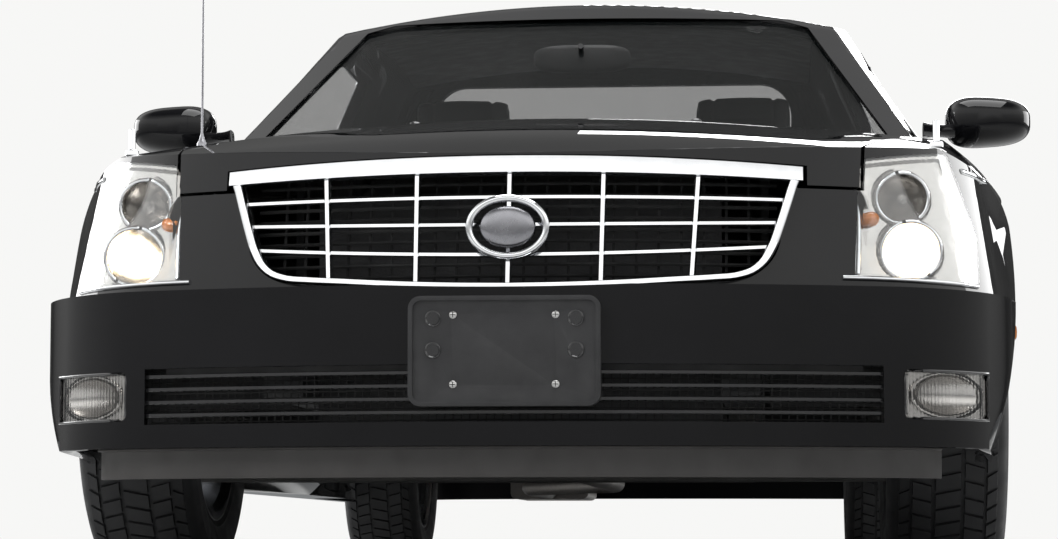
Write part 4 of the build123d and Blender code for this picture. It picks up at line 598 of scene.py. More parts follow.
class Shape:
    """Points and faces of a piece in the making."""

    def __init__(self):
        self.points = []
        self.faces = []

    def add(self, points, faces):
        base = len(self.points)
        self.points += [tuple(p) for p in points]
        self.faces += [tuple(base + i for i in face) for face in faces]
        return self

    def loft(self, rings, closed=True, joined=False):
        """Faces between rings of equal count; closed rings meet themselves, joined lofts meet their start."""
        count, rows = len(rings[0]), len(rings)
        faces = []
        for i in range(rows if joined else rows - 1):
            for j in range(count if closed else count - 1):
                after, across = (i + 1) % rows, (j + 1) % count
                faces.append((i * count + j, i * count + across, after * count + across, after * count + j))
        if closed and not joined:
            faces.append(tuple(range(count))[::-1])
            faces.append(tuple((rows - 1) * count + j for j in range(count)))
        return self.add([p for ring in rings for p in ring], faces)

    def grid(self, rows, columns, place):
        """A sheet over rows of z and columns of x, with a hole wherever place(x, z) is None."""
        index, points = {}, []
        for i, z in enumerate(rows):
            for j, x in enumerate(columns):
                y = place(x, z)
                if y is not None:
                    index[i, j] = len(points)
                    points.append((x, y, z))
        corners = [[(i, j), (i, j + 1), (i + 1, j + 1), (i + 1, j)] for i, j in index]
        whole = [four for four in corners if all(c in index for c in four)]
        return self.add(points, [tuple(index[c] for c in four) for four in whole])

    def tube(self, path, radius, sides=12, closed=False, flat=1.0):
        """A round bar along a path; radius is one value or one for each point, flat squeezes its height."""
        path = [Vector(p) for p in path]
        radii = [float(r) for r in (radius if np.ndim(radius) else [radius] * len(path))]
        rings = []
        side = None
        for i, point in enumerate(path):
            before, after = neighbours(path, i, closed)
            run = (after - before).normalized()
            if side is None:
                side = run.cross((0, 0, 1) if abs(run.z) < 0.9 else (1, 0, 0)).normalized()
            side = (side - run * side.dot(run)).normalized()
            up = run.cross(side)
            rings.append([point + radii[i] * (c * side + s * flat * up) for c, s in squared_points(sides)])
        return self.loft(rings, joined=closed)

    def turned(self, profile, centre, axis, steps=64):
        """A closed profile of (radius, along) points, turned about an axis through centre."""
        axis = Vector(axis).normalized()
        side = axis.cross((0, 0, 1) if abs(axis.z) < 0.9 else (0, 1, 0)).normalized()
        up = axis.cross(side)
        rings = []
        for c, s in squared_points(steps):
            out = c * side + s * up
            rings.append([Vector(centre) + radius * out + along * axis for radius, along in profile])
        return self.loft(rings, joined=True)

    def block(self, low, high):
        (a, b, c), (d, e, f) = low, high
        points = [(a, b, c), (d, b, c), (d, e, c), (a, e, c), (a, b, f), (d, b, f), (d, e, f), (a, e, f)]
        faces = [(0, 3, 2, 1), (4, 5, 6, 7), (0, 1, 5, 4), (1, 2, 6, 5), (2, 3, 7, 6), (3, 0, 4, 7)]
        return self.add(points, faces)

    def strip(self, probe, spots, way, wide, tall, closed=False):
        """A crowned strip on the probed surface, along spots seen from one way."""
        way = Vector(way).normalized()
        path = [hit for hit in (probe.shoot(Vector(spot) + way * 9, -way) for spot in spots) if hit]
        if len(path) < 4:
            raise RuntimeError("a strip found nothing to lie on")
        section = ((-1, -0.4), (-1, 0.35), (-0.7, 0.85), (0, 1), (0.7, 0.85), (1, 0.35), (1, -0.4))
        rings = []
        for i, point in enumerate(path):
            before, after = neighbours(path, i, closed)
            across = (after - before).cross(way).normalized()
            rings.append([point + across * wide * u + way * tall * v for u, v in section])
        return self.loft(rings, joined=closed)

    def mirror(self):
        """Adds the other side of the car."""
        count = len(self.points)
        self.points += [(-x, y, z) for x, y, z in self.points]
        self.faces += [tuple(count + i for i in face)[::-1] for face in list(self.faces)]
        return self

    def mesh(self, name, weld, solid=True):
        """The mesh, with its doubles merged and its faces turned outwards."""
        mesh = bpy.data.meshes.new(name)
        mesh.from_pydata(self.points, [], self.faces)
        bm = bmesh.new()
        bm.from_mesh(mesh)
        if weld:
            bmesh.ops.remove_doubles(bm, verts=bm.verts, dist=1e-6)
        if solid:
            bmesh.ops.recalc_face_normals(bm, faces=bm.faces)
        bm.to_mesh(mesh)
        bm.free()
        return mesh

    def build(self, name, finish, body="body", slot=None, replaces=(), bevel=0.0, angle=50, solid=True):
        """The finished object, smoothed and riding on its body."""
        obj = linked(name, self.mesh(name, True, solid))
        if bevel:
            round_edges(obj, bevel, 40)
        sharpen(obj.data, angle)
        return settle(obj, finish, body, slot, replaces)


class Probe:
    """Finds places on CAD nodes along straight lines."""

    def __init__(self, *nodes):
        points, faces = [], []
        for node in nodes:
            mesh = frame["nodes"][node].data
            base = len(points)
            points += [v.co.copy() for v in mesh.vertices]
            faces += [[base + i for i in p.vertices] for p in mesh.polygons]
        self.tree = BVHTree.FromPolygons(points, faces)

    def shoot(self, start, way):
        return self.tree.ray_cast(Vector(start), Vector(way))[0]

    def front(self, x, z, otherwise=None):
        """Y of the first face met from ahead of the car."""
        hit = self.shoot((x, -9, z), (0, 1, 0))
        return hit.y if hit else otherwise

    def side(self, y, z, sign=1, otherwise=None):
        """X of the first face met from the left or the right."""
        hit = self.shoot((3 * sign, y, z), (-sign, 0, 0))
        return hit.x if hit else otherwise

    def top(self, x, y, otherwise=None):
        """Z of the first face met from above."""
        hit = self.shoot((x, y, 4), (0, 0, -1))
        return hit.z if hit else otherwise

    def tail(self, x, z, otherwise=None):
        """Y of the first face met from behind the car."""
        hit = self.shoot((x, 9, z), (0, -1, 0))
        return hit.y if hit else otherwise


def repeat_tree():
    """Geometry nodes that repeat a piece along a row, round an axis, or both."""
    tree = bpy.data.node_groups.new("repeat_piece", "GeometryNodeTree")
    kinds = {"Geometry": "Geometry", "Count": "Int", "Step": "Vector", "Turn": "Vector", "Finish": "Material"}
    for name, kind in kinds.items():
        tree.interface.new_socket(name, in_out="INPUT", socket_type="NodeSocket" + kind)
    tree.interface.new_socket("Geometry", in_out="OUTPUT", socket_type="NodeSocketGeometry")
    new = tree.nodes.new
    given, result = new("NodeGroupInput"), new("NodeGroupOutput")
    row, spread = new("GeometryNodeMeshLine"), new("GeometryNodeInstanceOnPoints")
    index, scaled = new("GeometryNodeInputIndex"), new("ShaderNodeVectorMath")
    spin, real = new("FunctionNodeEulerToRotation"), new("GeometryNodeRealizeInstances")
    coated = new("GeometryNodeSetMaterial")
    scaled.operation = "MULTIPLY"
    for start, output, end, socket in (
        (given, "Count", row, "Count"), (given, "Step", row, "Offset"), (row, "Mesh", spread, "Points"),
        (given, "Geometry", spread, "Instance"), (given, "Turn", scaled, 0), (index, "Index", scaled, 1),
        (scaled, "Vector", spin, "Euler"), (spin, "Rotation", spread, "Rotation"),
        (spread, "Instances", real, "Geometry"), (real, "Geometry", coated, "Geometry"),
        (given, "Finish", coated, "Material"), (coated, "Geometry", result, "Geometry"),
    ):
        tree.links.new(start.outputs[output], end.inputs[socket])
    return tree


ORIGIN = (0, 0, 0)


def repeated(
    name, shape, finish, count, body="body", step=ORIGIN, turn=ORIGIN, centre=ORIGIN, angle=32, **given
):
    """A shape repeated by the node tree, turned into a plain mesh and moved to its centre."""
    tree = bpy.data.node_groups.get("repeat_piece") or repeat_tree()
    obj = linked(name, shape.mesh(name, False))
    coat(obj.data, finish)
    growth = obj.modifiers.new("Growth", "NODES")
    growth.node_group = tree
    inputs = {"Count": count, "Finish": FINISHES[finish]}
    inputs |= {"Step": tuple(map(float, step)), "Turn": tuple(map(float, turn))}
    for item in tree.interface.items_tree:
        if item.in_out == "INPUT" and item.name in inputs:
            growth[item.identifier] = inputs[item.name]
    apply_modifiers(obj)
    obj.data.transform(Matrix.Translation(centre))
    sharpen(obj.data, angle)
    return settle(obj, finish, body, **given)


def smooth_path(points, count):
    """Points spread evenly along a smooth curve through the given ones."""
    points = np.asarray(points, float)
    lengths = np.concatenate(([0], np.cumsum(np.linalg.norm(np.diff(points, axis=0), axis=1))))
    rows = np.column_stack((lengths, points))
    return smooth_rows(rows, np.linspace(0, lengths[-1], count))[:, 1:]


def arc_station(x, middle, half, end):
    """Station at x on a plan arc from (0, middle) to (half, end)."""
    rise = end - middle
    radius = (half**2 + rise**2) / (2 * rise)
    return middle + radius - math.sqrt(max(radius**2 - x**2, 0.0))


def nose_station(x, z):
    """Station of the upper nose's face."""
    return arc_station(x, *plan_row(NOSE_PLANS, z)[1:4])


def on_nose(x, z, ahead=0.0):
    return (x, y_of(nose_station(x, z) - ahead), z)


def on_bumper(x, z, ahead=0.0):
    return (x, y_of(arc_station(x, *BUMPER_PLAN[1:4]) - ahead), z)


def size(name, description, default, low=0.0, high=2.0):
    return bpy.props.FloatProperty(
        name=name, description=description, default=default, min=low, max=high, unit="LENGTH", precision=4
    )


def amount(name, description, default, low=1, high=400):
    return bpy.props.IntProperty(name=name, description=description, default=default, min=low, max=high)


def shade(name, description, default):
    return bpy.props.FloatVectorProperty(
        name=name, description=description, default=default, size=3, subtype="COLOR", min=0.0, max=1.0
    )


class FlowerCarColours(bpy.types.PropertyGroup):
    """Colours of the large finishes"""

    lacquer: shade("Lacquer", "Colour of the bodywork", (0.0035, 0.0035, 0.0042))
    dam: shade("Air dam", "Colour of the air dam under the nose", (0.030, 0.028, 0.027))
    leather: shade("Leather", "Colour of the seats", (0.020, 0.019, 0.020))
    marker: shade("Marker", "Colour of the amber markers", (0.75, 0.22, 0.02))
    beam: shade("Beam", "Colour of the lit headlamps", (1.0, 0.80, 0.52))


class FlowerCarNose(bpy.types.PropertyGroup):
    """Sizes of the grille and the lamps"""

    bar: size("Bar", "Height of the grille's level bars", 0.0090)
    post: size("Post", "Width of the grille's upright bars", 0.0122)
    surround: size("Surround", "Width of the grille's side trim", 0.0170)
    lower_trim: size("Lower trim", "Width of the grille's trim along the bottom", 0.0110)
    medallion: size("Medallion", "Half width of the oval medallion", 0.0770)
    bowl_rim: size("Bowl rim", "Width of the rim round each lamp bowl", 0.0050)
    flute: size("Flute", "Pitch of the fog lamps' upright flutes", 0.0065)


class FlowerCarWheels(bpy.types.PropertyGroup):
    """Sizes of the wheels"""

    spokes: amount("Spokes", "Number of spokes in each wheel", 7, 3, 20)
    pads: amount("Tread pads", "Number of tread pads round the tyre", 58, 20, 90)
    groove: size("Groove", "Depth of the tread", 0.0065)
    nuts: amount("Nuts", "Number of wheel nuts", 5, 3, 8)


class FlowerCarBed(bpy.types.PropertyGroup):
    """Sizes of the flower bed"""

    rail: size("Rail", "Radius of the bed's side rails", 0.0108)
    ridge: size("Ridge", "Height of the ridges on the deck strips", 0.0016)
    studs: amount("Studs", "Number of studs along each side of the bed", 14, 2, 40)


GROUPS = {
    "flowercar_colours": FlowerCarColours, "flowercar_nose": FlowerCarNose,
    "flowercar_wheels": FlowerCarWheels, "flowercar_bed": FlowerCarBed,
}

# Each painted panel with the width of its rounded edges.
PAINTED = {
    "hood": 0.0022, "front_fenders": 0.0018, "body_sides": 0.0018, "front_bumper": 0.003,
    "rear_bumper": 0.003, "cab_shell": 0.0018, "door_left": 0.0018, "door_right": 0.0018,
    "tailgate": 0.002,
}


class FLOWERCAR_OT_bodywork(bpy.types.Operator):
    """Lays the painted panels on smooth skins and paints them"""

    bl_idname = "flowercar.bodywork"
    bl_label = "Bodywork"

    def execute(self, context):
        skins = all_skins()
        panes = cab_skins(0.010) + cab_skins(0.016)
        for node, bevel in PAINTED.items():
            dress(node, "paint", bevel, 38, skins)
        dress("headlamp_lenses", "lens", skins=skins)
        dress("tail_lamps", "red", 0.0015, 38, skins)
        for node in ("fixed_glass", "door_glass_left", "door_glass_right"):
            dress(node, "glass", skins=panes)
        return {"FINISHED"}


# Half of the grille's outline: x and z along its outer edge, from the top corner to the middle.
GRILLE_EDGE = [
    (0.516, 0.725), (0.511, 0.714), (0.497, 0.671), (0.483, 0.627), (0.469, 0.589), (0.453, 0.563),
    (0.431, 0.545), (0.403, 0.5355), (0.360, 0.5310), (0.300, 0.5270), (0.200, 0.5205), (0.100, 0.5165),
    (0.0, 0.515),
]
# Height of each level bar at the side and at the middle, with its half length.
GRILLE_BARS = [(0.680, 0.681, 0.494), (0.638, 0.631, 0.480), (0.594, 0.577, 0.464)]
# x of each upright at its top and bottom, and the bottom's height.
GRILLE_POSTS = [(0.0, 0.0, 0.521), (0.166, 0.163, 0.525), (0.333, 0.321, 0.533)]
GRILLE_HEAD = 0.7275
HEAD_HALF = 0.5175
# Across each bar's width, then how far it stands out of the nose.
HEAD_SECTION = [(0, -0.020), (0, 0.0150), (0.06, 0.0180), (0.50, 0.0182), (1, 0.0172), (1, -0.020)]
EDGE_SECTION = [(0, -0.02), (0, 0.0125), (0.14, 0.0165), (0.86, 0.0165), (1, 0.0125), (1, -0.02)]
BAR_SECTION = [(-1, -0.016), (-1, 0.002), (-0.6, 0.006), (0.6, 0.006), (1, 0.002), (1, -0.016)]
POST_SECTION = [(-1, -0.016), (-1, 0.006), (-0.55, 0.0115), (0.55, 0.0115), (1, 0.006), (1, -0.016)]
MEDALLION_Z = 0.624


def arched(middle, side, half, x):
    """Height at x of an edge that bows from the middle to the side."""
    return middle + (side - middle) * (x / half) ** 2


class FLOWERCAR_OT_grille(bpy.types.Operator):
    """Builds the bright grille, its bars, its dark inside and the plain medallion"""

    bl_idname = "flowercar.grille"
    bl_label = "Grille"

    def execute(self, context):
        sizes = context.scene.flowercar_nose
        edge = smooth_path(GRILLE_EDGE, 60)
        edge = np.vstack((edge, edge[-2::-1] * (-1, 1)))
        self.trim(sizes, edge)
        self.bars(sizes)
        self.inside(edge)
        self.medallion(sizes.medallion)
        return {"FINISHED"}

    def trim(self, sizes, edge):
        """The broad bar along the top and the narrower one round the rest."""
        bright = Shape()
        rings = []
        for x in np.linspace(-HEAD_HALF, HEAD_HALF, 49):
            low, high = arched(0.7240, 0.7145, HEAD_HALF, x), arched(0.7553, 0.7408, HEAD_HALF, x)
            rings.append([on_nose(x, low + share * (high - low), ahead) for share, ahead in HEAD_SECTION])
        bright.loft(rings)
        ways = np.gradient(edge, axis=0)
        ways /= np.linalg.norm(ways, axis=1, keepdims=True)
        rings = []
        for (x, z), (dx, dz) in zip(edge, ways):
            share = min(1.0, max(0.0, (z - 0.53) / 0.05))
            width = sizes.lower_trim + (sizes.surround - sizes.lower_trim) * share
            inward = np.array((dz, -dx)) * width
            spot = np.array((x, z))
            rings.append([on_nose(*(spot + inward * across), ahead) for across, ahead in EDGE_SECTION])
        bright.loft(rings)
        bright.build("grille_trim", "chrome", replaces=("grille",))

    def bars(self, sizes):
        bars = Shape()
        for side_z, middle_z, reach in GRILLE_BARS:
            rings = []
            for x in np.linspace(-reach, reach, 41):
                z = arched(middle_z, side_z, reach, x)
                rings.append([on_nose(x, z + up * sizes.bar / 2, ahead) for up, ahead in BAR_SECTION])
            bars.loft(rings)
        for top_x, low_x, low_z in GRILLE_POSTS:
            for sign in (1, -1) if top_x else (1,):
                rings = []
                for z in np.linspace(low_z, GRILLE_HEAD + 0.002, 15):
                    x = sign * (low_x + (top_x - low_x) * (z - low_z) / (GRILLE_HEAD - low_z))
                    section = [(x + across * sizes.post / 2, ahead) for across, ahead in POST_SECTION]
                    rings.append([on_nose(at, z, ahead) for at, ahead in section])
                bars.loft(rings)
        bars.build("grille_bars", "chrome")

    def inside(self, edge):
        """The dark tunnel behind the bars and the lattice at its end."""
        dark = Shape()
        roof = [(x, GRILLE_HEAD + 0.004) for x in np.linspace(-0.505, 0.505, 30)]
        for outline in (edge * (0.985, 1) + (0, 0.004), roof):
            dark.loft([[on_nose(x, z, -back) for x, z in outline] for back in (0.012, 0.10)], closed=False)
        for z in np.linspace(0.545, 0.715, 9):
            reach = 0.44 if z < 0.56 else 0.47
            dark.tube([on_nose(x, z, -0.075) for x in np.linspace(-reach, reach, 21)], 0.0035, 6)
        for x in np.linspace(-0.42, 0.42, 22):
            dark.tube([on_nose(x, z, -0.085) for z in np.linspace(0.53, 0.725, 5)], 0.0030, 6)
        dark.build("grille_inside", "liner", solid=False)

    def medallion(self, half):
        """A plain oval ring round a plain domed oval."""
        _, y, z = on_nose(0.0, MEDALLION_Z, 0.030)
        tall = half * 0.75
        ring = [(half * 0.88 * c, y, z + tall * 0.88 * s) for c, s in squared_points(72)]
        oval = Shape().tube(ring, 0.0066, 12, True)
        oval.tube([(0, y + 0.002, z), (0, y + 0.044, z)], [0.03, 0.026], 24)
        oval.build("medallion_ring", "chrome")
        dome = ((0.64, -0.010), (0.64, 0.002), (0.60, 0.006), (0.45, 0.009), (0.25, 0.0105), (0.02, 0.011))
        rings = [
            [(half * share * c, y - ahead, z + tall * share * s) for c, s in squared_points(60)]
            for share, ahead in dome
        ]
        Shape().loft(rings).build("medallion_centre", "satin")


# x and z of the headlamp's corners.
LAMP_EDGE = [(0.611, 0.543), (0.839, 0.543), (0.839, 0.640), (0.784, 0.790), (0.620, 0.759)]
# Name, x, z, radius and depth of each lamp bowl.
BOWLS = [("upper", 0.698, 0.696, 0.047, 0.055), ("lower", 0.712, 0.597, 0.054, 0.060)]
BULB = [(0.0004, -0.040), (0.007, -0.038), (0.0105, -0.030), (0.0105, -0.014), (0.007, 0.0), (0.0004, 0.0)]
# x, z and radius of the amber marker.
MARKER = (0.640, 0.652, 0.013)
# How far the bowls' mouths lie behind the lens.
BOWL_SEAT = 0.026


def inside_depth(x, z, edge):
    """Distance from a point to the nearest side of an outline that turns one way."""
    depth = 1.0
    for (ax, az), (bx, bz) in zip(edge, edge[1:] + edge[:1]):
        run = math.hypot(bx - ax, bz - az)
        depth = min(depth, ((bx - ax) * (z - az) - (bz - az) * (x - ax)) / run)
    return depth


class FLOWERCAR_OT_headlamps(bpy.types.Operator):
    """Builds the headlamps' shells, bowls, bulbs and markers"""

    bl_idname = "flowercar.headlamps"
    bl_label = "Headlamps"

    def execute(self, context):
        rim = context.scene.flowercar_nose.bowl_rim
        lens = Probe("headlamp_lenses")

        def face(x, z):
            return lens.front(x, z, -2.45)

        def shell(x, z):
            """Y of the shell behind the lens, with its bowls and its raised border."""
            border = inside_depth(x, z, LAMP_EDGE)
            if border < 0 or lens.front(x, z) is None:
                return None
            y = face(x, z) + (0.014 if border < 0.007 else 0.030)
            for _, bx, bz, radius, depth in BOWLS:
                away = math.hypot(x - bx, z - bz)
                seat = face(bx, bz) + BOWL_SEAT
                if away < radius:
                    y = seat + depth * (1 - (away / radius) ** 2)
                elif away < radius + rim:
                    y = seat - 0.010
                elif away < radius + 0.010:
                    y = max(y, seat + 0.012)
            return y

        shells = Shape().grid(np.linspace(0.543, 0.790, 120), np.linspace(0.611, 0.839, 120), shell).mirror()
        shells.build("headlamp_shells", "lamp_shell", replaces=("headlamp_housings",), solid=False, angle=40)
        rims = Shape()
        for _, bx, bz, radius, _ in BOWLS:
            ring = [(bx + radius * c, face(bx, bz) + 0.0165, bz + radius * s) for c, s in squared_points(64)]
            rims.tube(ring, 0.0034, 10, True)
        strip = smooth_path([(0.613, 0.548), (0.6215, 0.756)], 14)
        rims.tube([(x, face(x + 0.004, z) + 0.012, z) for x, z in strip], 0.0045, 10)
        rims.mirror().build("headlamp_rims", "chrome")
        for name, bx, bz, _, depth in BOWLS:
            bulb = Shape().turned(BULB, (bx, face(bx, bz) + BOWL_SEAT + depth, bz), (0, 1, 0), 24).mirror()
            bulb.build(name + "_bulbs", "lit" if name == "lower" else "bulb")
        x, z, radius = MARKER
        profile = [(0.0004, -0.006), (radius * 0.6, -0.0048), (radius, 0.0), (radius, 0.014), (0.0004, 0.014)]
        marker = Shape().turned(profile, (x, face(x, z) + 0.016, z), (0, 1, 0), 32)
        marker.mirror().build("amber_markers", "amber")
        skin = Probe("front_bumper", "front_fenders", "headlamp_lenses")
        path = [(x, skin.front(x, 0.5415)) for x in np.linspace(0.586, 0.836, 26)]
        under = Shape().tube([(x, y - 0.0015, 0.5405) for x, y in path if y is not None], 0.0048, 10)
        under.mirror().build("lamp_underlines", "chrome")
        return {"FINISHED"}


# x and z of the fog lamps' inner lower corner, outer upper corner and middle.
FOG_LOW = (0.692, 0.290)
FOG_HIGH = (0.846, 0.374)
FOG_MIDDLE = (0.765, 0.332)


class FLOWERCAR_OT_fog_lamps(bpy.types.Operator):
    """Builds the fluted fog lamps with their bowls"""

    bl_idname = "flowercar.fog_lamps"
    bl_label = "Fog lamps"

    def execute(self, context):
        flute = context.scene.flowercar_nose.flute
        skin = Probe("fog_lamps")

        def fluted(x, z):
            y = skin.front(x, z)
            return None if y is None else y + 0.002 + 0.0012 * abs(math.sin(math.pi * x / flute))

        def bowl(x, z):
            y = skin.front(x, z)
            away = math.hypot((x - FOG_MIDDLE[0]) / 0.058, (z - FOG_MIDDLE[1]) / 0.036)
            raised = 0.016 * max(0.0, 1 - away**2) - (0.010 if 1 < away < 1.12 else 0)
            return None if y is None else y + 0.022 + raised

        for name, finish, place, rows, columns, replaces in (
            ("fog_lenses", "fluted", fluted, 14, 190, ("fog_lamps",)),
            ("fog_bowls", "lamp_shell", bowl, 50, 80, ()),
        ):
            heights = np.linspace(FOG_LOW[1], FOG_HIGH[1], rows)
            sheet = Shape().grid(heights, np.linspace(FOG_LOW[0], FOG_HIGH[0], columns), place).mirror()
            sheet.build(name, finish, slot="clear_lens", replaces=replaces, solid=False, angle=60)
        edge = [FOG_LOW, (FOG_HIGH[0], FOG_LOW[1]), FOG_HIGH, (FOG_LOW[0], FOG_HIGH[1])]
        path = []
        for (ax, az), (bx, bz) in zip(edge, edge[1:] + edge[:1]):
            for t in np.linspace(0, 1, 10, endpoint=False):
                x, z = ax + t * (bx - ax), az + t * (bz - az)
                y = skin.front(min(max(x, 0.694), 0.843), min(max(z, 0.292), 0.372), -2.8) + 0.002
                path.append((x, y, z))
        Shape().tube(path, 0.0030, 8, True).mirror().build("fog_frames", "gloss_trim")
        return {"FINISHED"}


# x and z of the bracket's screws and plugs; radius and distance back of their outlines.
SCREWS = [(x, z) for x in (-0.089, 0.089) for z in (0.3447, 0.4653)]
SCREW_HEAD = [(0.0003, -0.0040), (0.0045, -0.0034), (0.0068, -0.001), (0.0068, 0.002), (0.0003, 0.002)]
PLUGS = [(x, z) for x in (-0.124, 0.124) for z in (0.404, 0.459)]
PLUG = [
    (0.0004, -0.0012), (0.0105, -0.0012), (0.0125, -0.0030), (0.0140, -0.0024), (0.0144, 0.001),
    (0.0004, 0.001),
]


class FLOWERCAR_OT_front_plate(bpy.types.Operator):
    """Finishes the blank licence bracket with its screws, the painted shade in their cross recesses and round
    plugs
    """

    bl_idname = "flowercar.front_plate"
    bl_label = "Licence bracket"

    def execute(self, context):
        dress("plate_bracket", "trim", 0.0012)
        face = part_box("plate_bracket")[0][1] + 0.006
        heads, slot_shade, plugs = Shape(), Shape(), Shape()
        for x, z in SCREWS:
            heads.turned(SCREW_HEAD, (x, face, z), (0, 1, 0), 24)
            # Painted shade: black blocks across each zinc screw head stand in for the shade inside its cross
            # recess.
            for wide, tall in ((0.0045, 0.0007), (0.0007, 0.0045)):
                slot_shade.block((x - wide, face - 0.0043, z - tall), (x + wide, face - 0.003, z + tall))
        for x, z in PLUGS:
            plugs.turned(PLUG, (x, face, z), (0, 1, 0), 40)
        heads.build("bracket_screws", "steel", angle=40)
        # The cross recess blocks are painted shade in black trim, not the screw's zinc.
        slot_shade.build("bracket_screw_slot_shade", "gloss_trim", angle=32)
        plugs.build("bracket_plugs", "gloss_trim", angle=40)
        return {"FINISHED"}


def squared_ring(middle, half_x, half_z, y, power, count, taper):
    """A rounded box outline in front view at Y, lower towards its outer end by taper."""
    return [
        (middle[0] + half_x * across, y, middle[1] + half_z * up * (1 - taper * (1 + across) / 2))
        for across, up in squared_points(count, power)
    ]


# Share of the mirror's size, then how far behind its front.
MIRROR_RINGS = [
    (0.30, 0.001), (0.52, 0.005), (0.70, 0.013), (0.84, 0.027), (0.93, 0.045), (0.985, 0.066),
    (1.0, 0.082), (1.0, 0.094), (0.985, 0.098), (0.955, 0.0992), (0.935, 0.0975), (0.925, 0.0905),
]
# x and station of the mirror arm's foot on the door.
MIRROR_FOOT = (0.806, 1.780)


class FLOWERCAR_OT_mirrors(bpy.types.Operator):
    """Builds the door mirrors with their arms and glass"""

    bl_idname = "flowercar.mirrors"
    bl_label = "Door mirrors"

    def execute(self, context):
        for sign, side in ((1, "left"), (-1, "right")):
            node = "mirror_" + side
            low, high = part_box(node)
            outer = max(abs(low[0]), abs(high[0]))
            front = high[1] - 0.100
            middle = (outer - 0.099, (high[2] + low[2]) / 2 + 0.001)
            half_x, half_z = 0.0985, (high[2] - low[2]) / 2 - 0.001

            def ring(share, back):
                return squared_ring(middle, half_x * share, half_z * share, front + back, 3.0, 56, 0.20)

            housing = Shape().loft([ring(share, back) for share, back in MIRROR_RINGS])
            foot_x, foot_y = MIRROR_FOOT[0], y_of(MIRROR_FOOT[1])
            arm = []
            for t in np.linspace(0, 1, 9):
                x = foot_x + (outer - 0.178 - foot_x) * t
                y = foot_y + (front + 0.062 - foot_y) * t
                z = low[2] + 0.036 + 0.006 * t * t * (3 - 2 * t)
                thin = math.sin(math.pi * t)
                deep, tall = 0.036 - 0.014 * thin, 0.017 - 0.003 * thin
                arm.append([(x, y + deep * c, z + tall * s) for c, s in squared_points(24, 2.6)])
            housing.loft(arm)
            glass = Shape().loft([ring(0.915, back) for back in (0.0885, 0.0912)])
            for shape in (housing, glass):
                shape.points = [(sign * x, y, z) for x, y, z in shape.points]
            housing.build("mirror_housing_" + side, "paint", BODY_OF[node], replaces=(node,), angle=55)
            glass.build("mirror_glass_" + side, "mirror", BODY_OF[node], angle=40)
        return {"FINISHED"}


# Where each column of tread pads stands across the tyre, and its width.
TREAD_COLUMNS = [(-0.0845, 0.021), (-0.0505, 0.038), (0.0, 0.050), (0.0505, 0.038), (0.0845, 0.021)]
# Half of the tyre's outline below its tread: radius and distance from the middle.
TYRE_WALL = [
    (0.2245, 0.0975), (0.2350, 0.1040), (0.2440, 0.1075), (0.2475, 0.1095), (0.2500, 0.1085),
    (0.2580, 0.1110), (0.2750, 0.1152), (0.2920, 0.1172), (0.3060, 0.1165), (0.3085, 0.1172),
    (0.3110, 0.1160), (0.3240, 0.1120), (0.3330, 0.1075), (0.3395, 0.1010),
]
# Turned parts of the wheel: radius, then distance outwards from its middle.
RIM_BARREL = [
    (0.2215, -0.0985), (0.2355, -0.1005), (0.2358, -0.1055), (0.2300, -0.1055), (0.2180, -0.0960),
    (0.2060, -0.0900), (0.2060, 0.0600), (0.2085, 0.0780), (0.2140, 0.0905), (0.2250, 0.0990),
    (0.2290, 0.1050), (0.2330, 0.1062), (0.2358, 0.1045), (0.2352, 0.1000), (0.2215, 0.0985),
]
RIM_MIDDLE = [
    (0.0215, 0.0300), (0.0215, 0.0740), (0.0290, 0.0745), (0.0300, 0.0800), (0.0320, 0.0835),
    (0.0400, 0.0850), (0.0460, 0.0835), (0.0500, 0.0745), (0.0640, 0.0735), (0.0720, 0.0780),
    (0.0760, 0.0770), (0.0760, 0.0520), (0.0500, 0.0380), (0.0500, 0.0300),
]
WHEEL_CAP = [
    (0.0003, 0.0908), (0.0120, 0.0902), (0.0220, 0.0885), (0.0285, 0.0850), (0.0288, 0.0750),
    (0.0003, 0.0750),
]
BRAKE_DISC = [
    (0.0520, -0.0240), (0.0800, -0.0240), (0.0820, -0.0290), (0.0900, -0.0300), (0.1500, -0.0300),
    (0.1500, -0.0365), (0.1440, -0.0368), (0.1440, -0.0412), (0.1500, -0.0415), (0.1500, -0.0480),
    (0.0900, -0.0480), (0.0520, -0.0480),
]
NUT = [(0.0104, 0.0720), (0.0104, 0.0860), (0.0088, 0.0885), (0.0030, 0.0895)]
NUT_CIRCLE = 0.0572
# Radius, half width, front and thickness of a spoke along its length.
SPOKE = [
    (0.062, 0.0200, 0.0770, 0.030), (0.076, 0.0180, 0.0835, 0.032), (0.095, 0.0172, 0.0865, 0.030),
    (0.125, 0.0172, 0.0875, 0.027), (0.155, 0.0185, 0.0872, 0.024), (0.178, 0.0215, 0.0868, 0.022),
    (0.194, 0.0280, 0.0872, 0.022), (0.204, 0.0400, 0.0885, 0.024), (0.2095, 0.0520, 0.0890, 0.026),
]
# Across half of a spoke from its middle groove to its edge, then how far behind its front.
SPOKE_HALF = [(0.30, -0.0026), (0.45, 0.0), (0.80, -0.0012), (0.98, -0.0045), (1.04, -0.010)]


